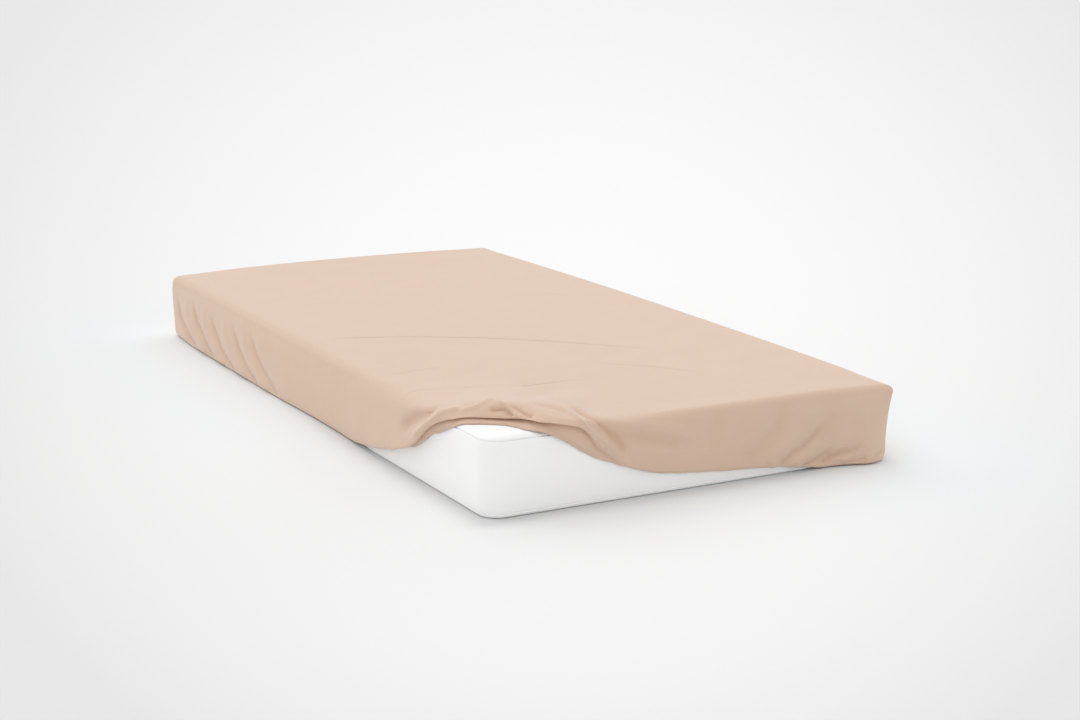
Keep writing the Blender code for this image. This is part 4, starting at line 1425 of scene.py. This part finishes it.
def beside_object(f, place):
    """Distance outside the outline, distance from the bare corner, and a mask, 0 beyond the far sides."""
    split = f.add("ShaderNodeSeparateXYZ", None, {0: place})
    square, beside = 0, 1
    for axis, half in enumerate(HALF.tolist()):
        out = f.number(split, axis).combine("ABSOLUTE", f.number(split, axis)) - half
        out = out.combine("MAXIMUM", out, 0)
        square = out * out + square
        start, end = (half + offset for offset in CONTACT_ENDS)
        beside = (1 - smooth_step(f, f.number(split, axis), start, end)) * beside
    bare = f.add("ShaderNodeVectorMath", {"operation": "DISTANCE"}, {0: place, 1: (*-HALF, 0)})
    return square.combine("SQRT", square), f.number(bare, "Value"), beside


def floor_paint():
    f = Finish("studio_floor")
    place = f.add("ShaderNodeTexCoord").outputs["Object"]
    away, bare, beside = beside_object(f, place)
    glow = bell(f, away * (1 / GLOW_REACH)) * smooth_step(f, bare, *GLOW_FROM)
    near_bare = 1 - smooth_step(f, bare, *CONTACT_FADE) * CONTACT_FADED
    # Painted shadow at the foot of the near sides, painted shade round the bare corner, painted light beyond
    # the far sides.
    contact = bell(f, away * (1 / CONTACT_REACH)) * CONTACT * near_bare * beside
    contact = contact + bell(f, bare * (1 / CORNER_SHADE[0])) * CORNER_SHADE[1]
    contact = contact - bell(f, away * (1 / FAR_LIGHT[0])) * (1 - beside) * FAR_LIGHT[1]
    place = f.add("ShaderNodeVectorMath", {"operation": "SUBTRACT"}, {0: place, 1: CAMERA_PLACE}).outputs[0]
    ahead = (np.cos(CAMERA_TURN), np.sin(CAMERA_TURN), 0)
    aside = (np.sin(CAMERA_TURN), -np.cos(CAMERA_TURN), 0)
    forwards, sideways = (
        f.number(f.add("ShaderNodeVectorMath", {"operation": "DOT_PRODUCT"}, {0: place, 1: way}), "Value")
        for way in (ahead, aside)
    )
    slope = sideways / forwards - FLOOR_MIDDLE[0]
    depth = CAMERA_PLACE.z / forwards - FLOOR_MIDDLE[1]
    away = FLOOR_FALLOFF[0] * slope * slope + FLOOR_FALLOFF[1] * depth * depth
    light = FLOOR_WHITE * (1 - away)
    light = light.combine("MAXIMUM", light, FLOOR_DARKEST) * (1 - contact)
    red, green, blue = GLOW_BACK
    tint = {"X": 1 - glow * red, "Y": 1 + glow * green, "Z": 1 + glow * blue}
    tint = f.add("ShaderNodeCombineXYZ", None, tint).outputs[0]
    colour = f.add("ShaderNodeVectorMath", {"operation": "SCALE"}, {0: tint, "Scale": light})
    return f.surface(Base_Color=colour.outputs[0], Roughness=1.0)


def add_floor():
    signs = ((-1, -1), (1, -1), (1, 1), (-1, 1))
    corners = np.array([(x * FLOOR_HALF, y * FLOOR_HALF, -FLOOR_BELOW) for x, y in signs])
    floor = mesh_object("floor", corners, [(0, 1, 2, 3)])
    floor.data.materials.append(floor_paint())


add_floor()
print("floor laid")

# %% Light
ROUND_LIGHT = 0.88
BROAD_LIGHT = 0.80
BROAD_LIGHT_FROM = (-0.20, 0.60, 0.77)
BROAD_LIGHT_ANGLE = np.radians(60)


def add_broad_light():
    light = bpy.data.lights.new("broad light", "SUN")
    light.energy = BROAD_LIGHT
    light.angle = BROAD_LIGHT_ANGLE
    lamp = bpy.data.objects.new("broad light", light)
    bpy.context.scene.collection.objects.link(lamp)
    lamp.rotation_euler = (-Vector(BROAD_LIGHT_FROM)).to_track_quat("-Z", "Y").to_euler()


def add_world():
    world = bpy.data.worlds.new("studio")
    world.use_nodes = True
    background = world.node_tree.nodes["Background"]
    background.inputs["Color"].default_value = (1, 1, 1, 1)
    background.inputs["Strength"].default_value = ROUND_LIGHT
    bpy.context.scene.world = world


add_world()
add_broad_light()
bpy.context.scene.view_settings.view_transform = "Standard"
print("light set")

# %% [markdown]
# ## Declarations
# Nothing here moves, so each piece rides on the one body. The sheet and the mattress stand for their
# plain solids.

# %% Declarations
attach(sheet, "root")
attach(mattress, "root")
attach(hem_stitches, "root")
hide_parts("fitted_sheet")
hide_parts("mattress")
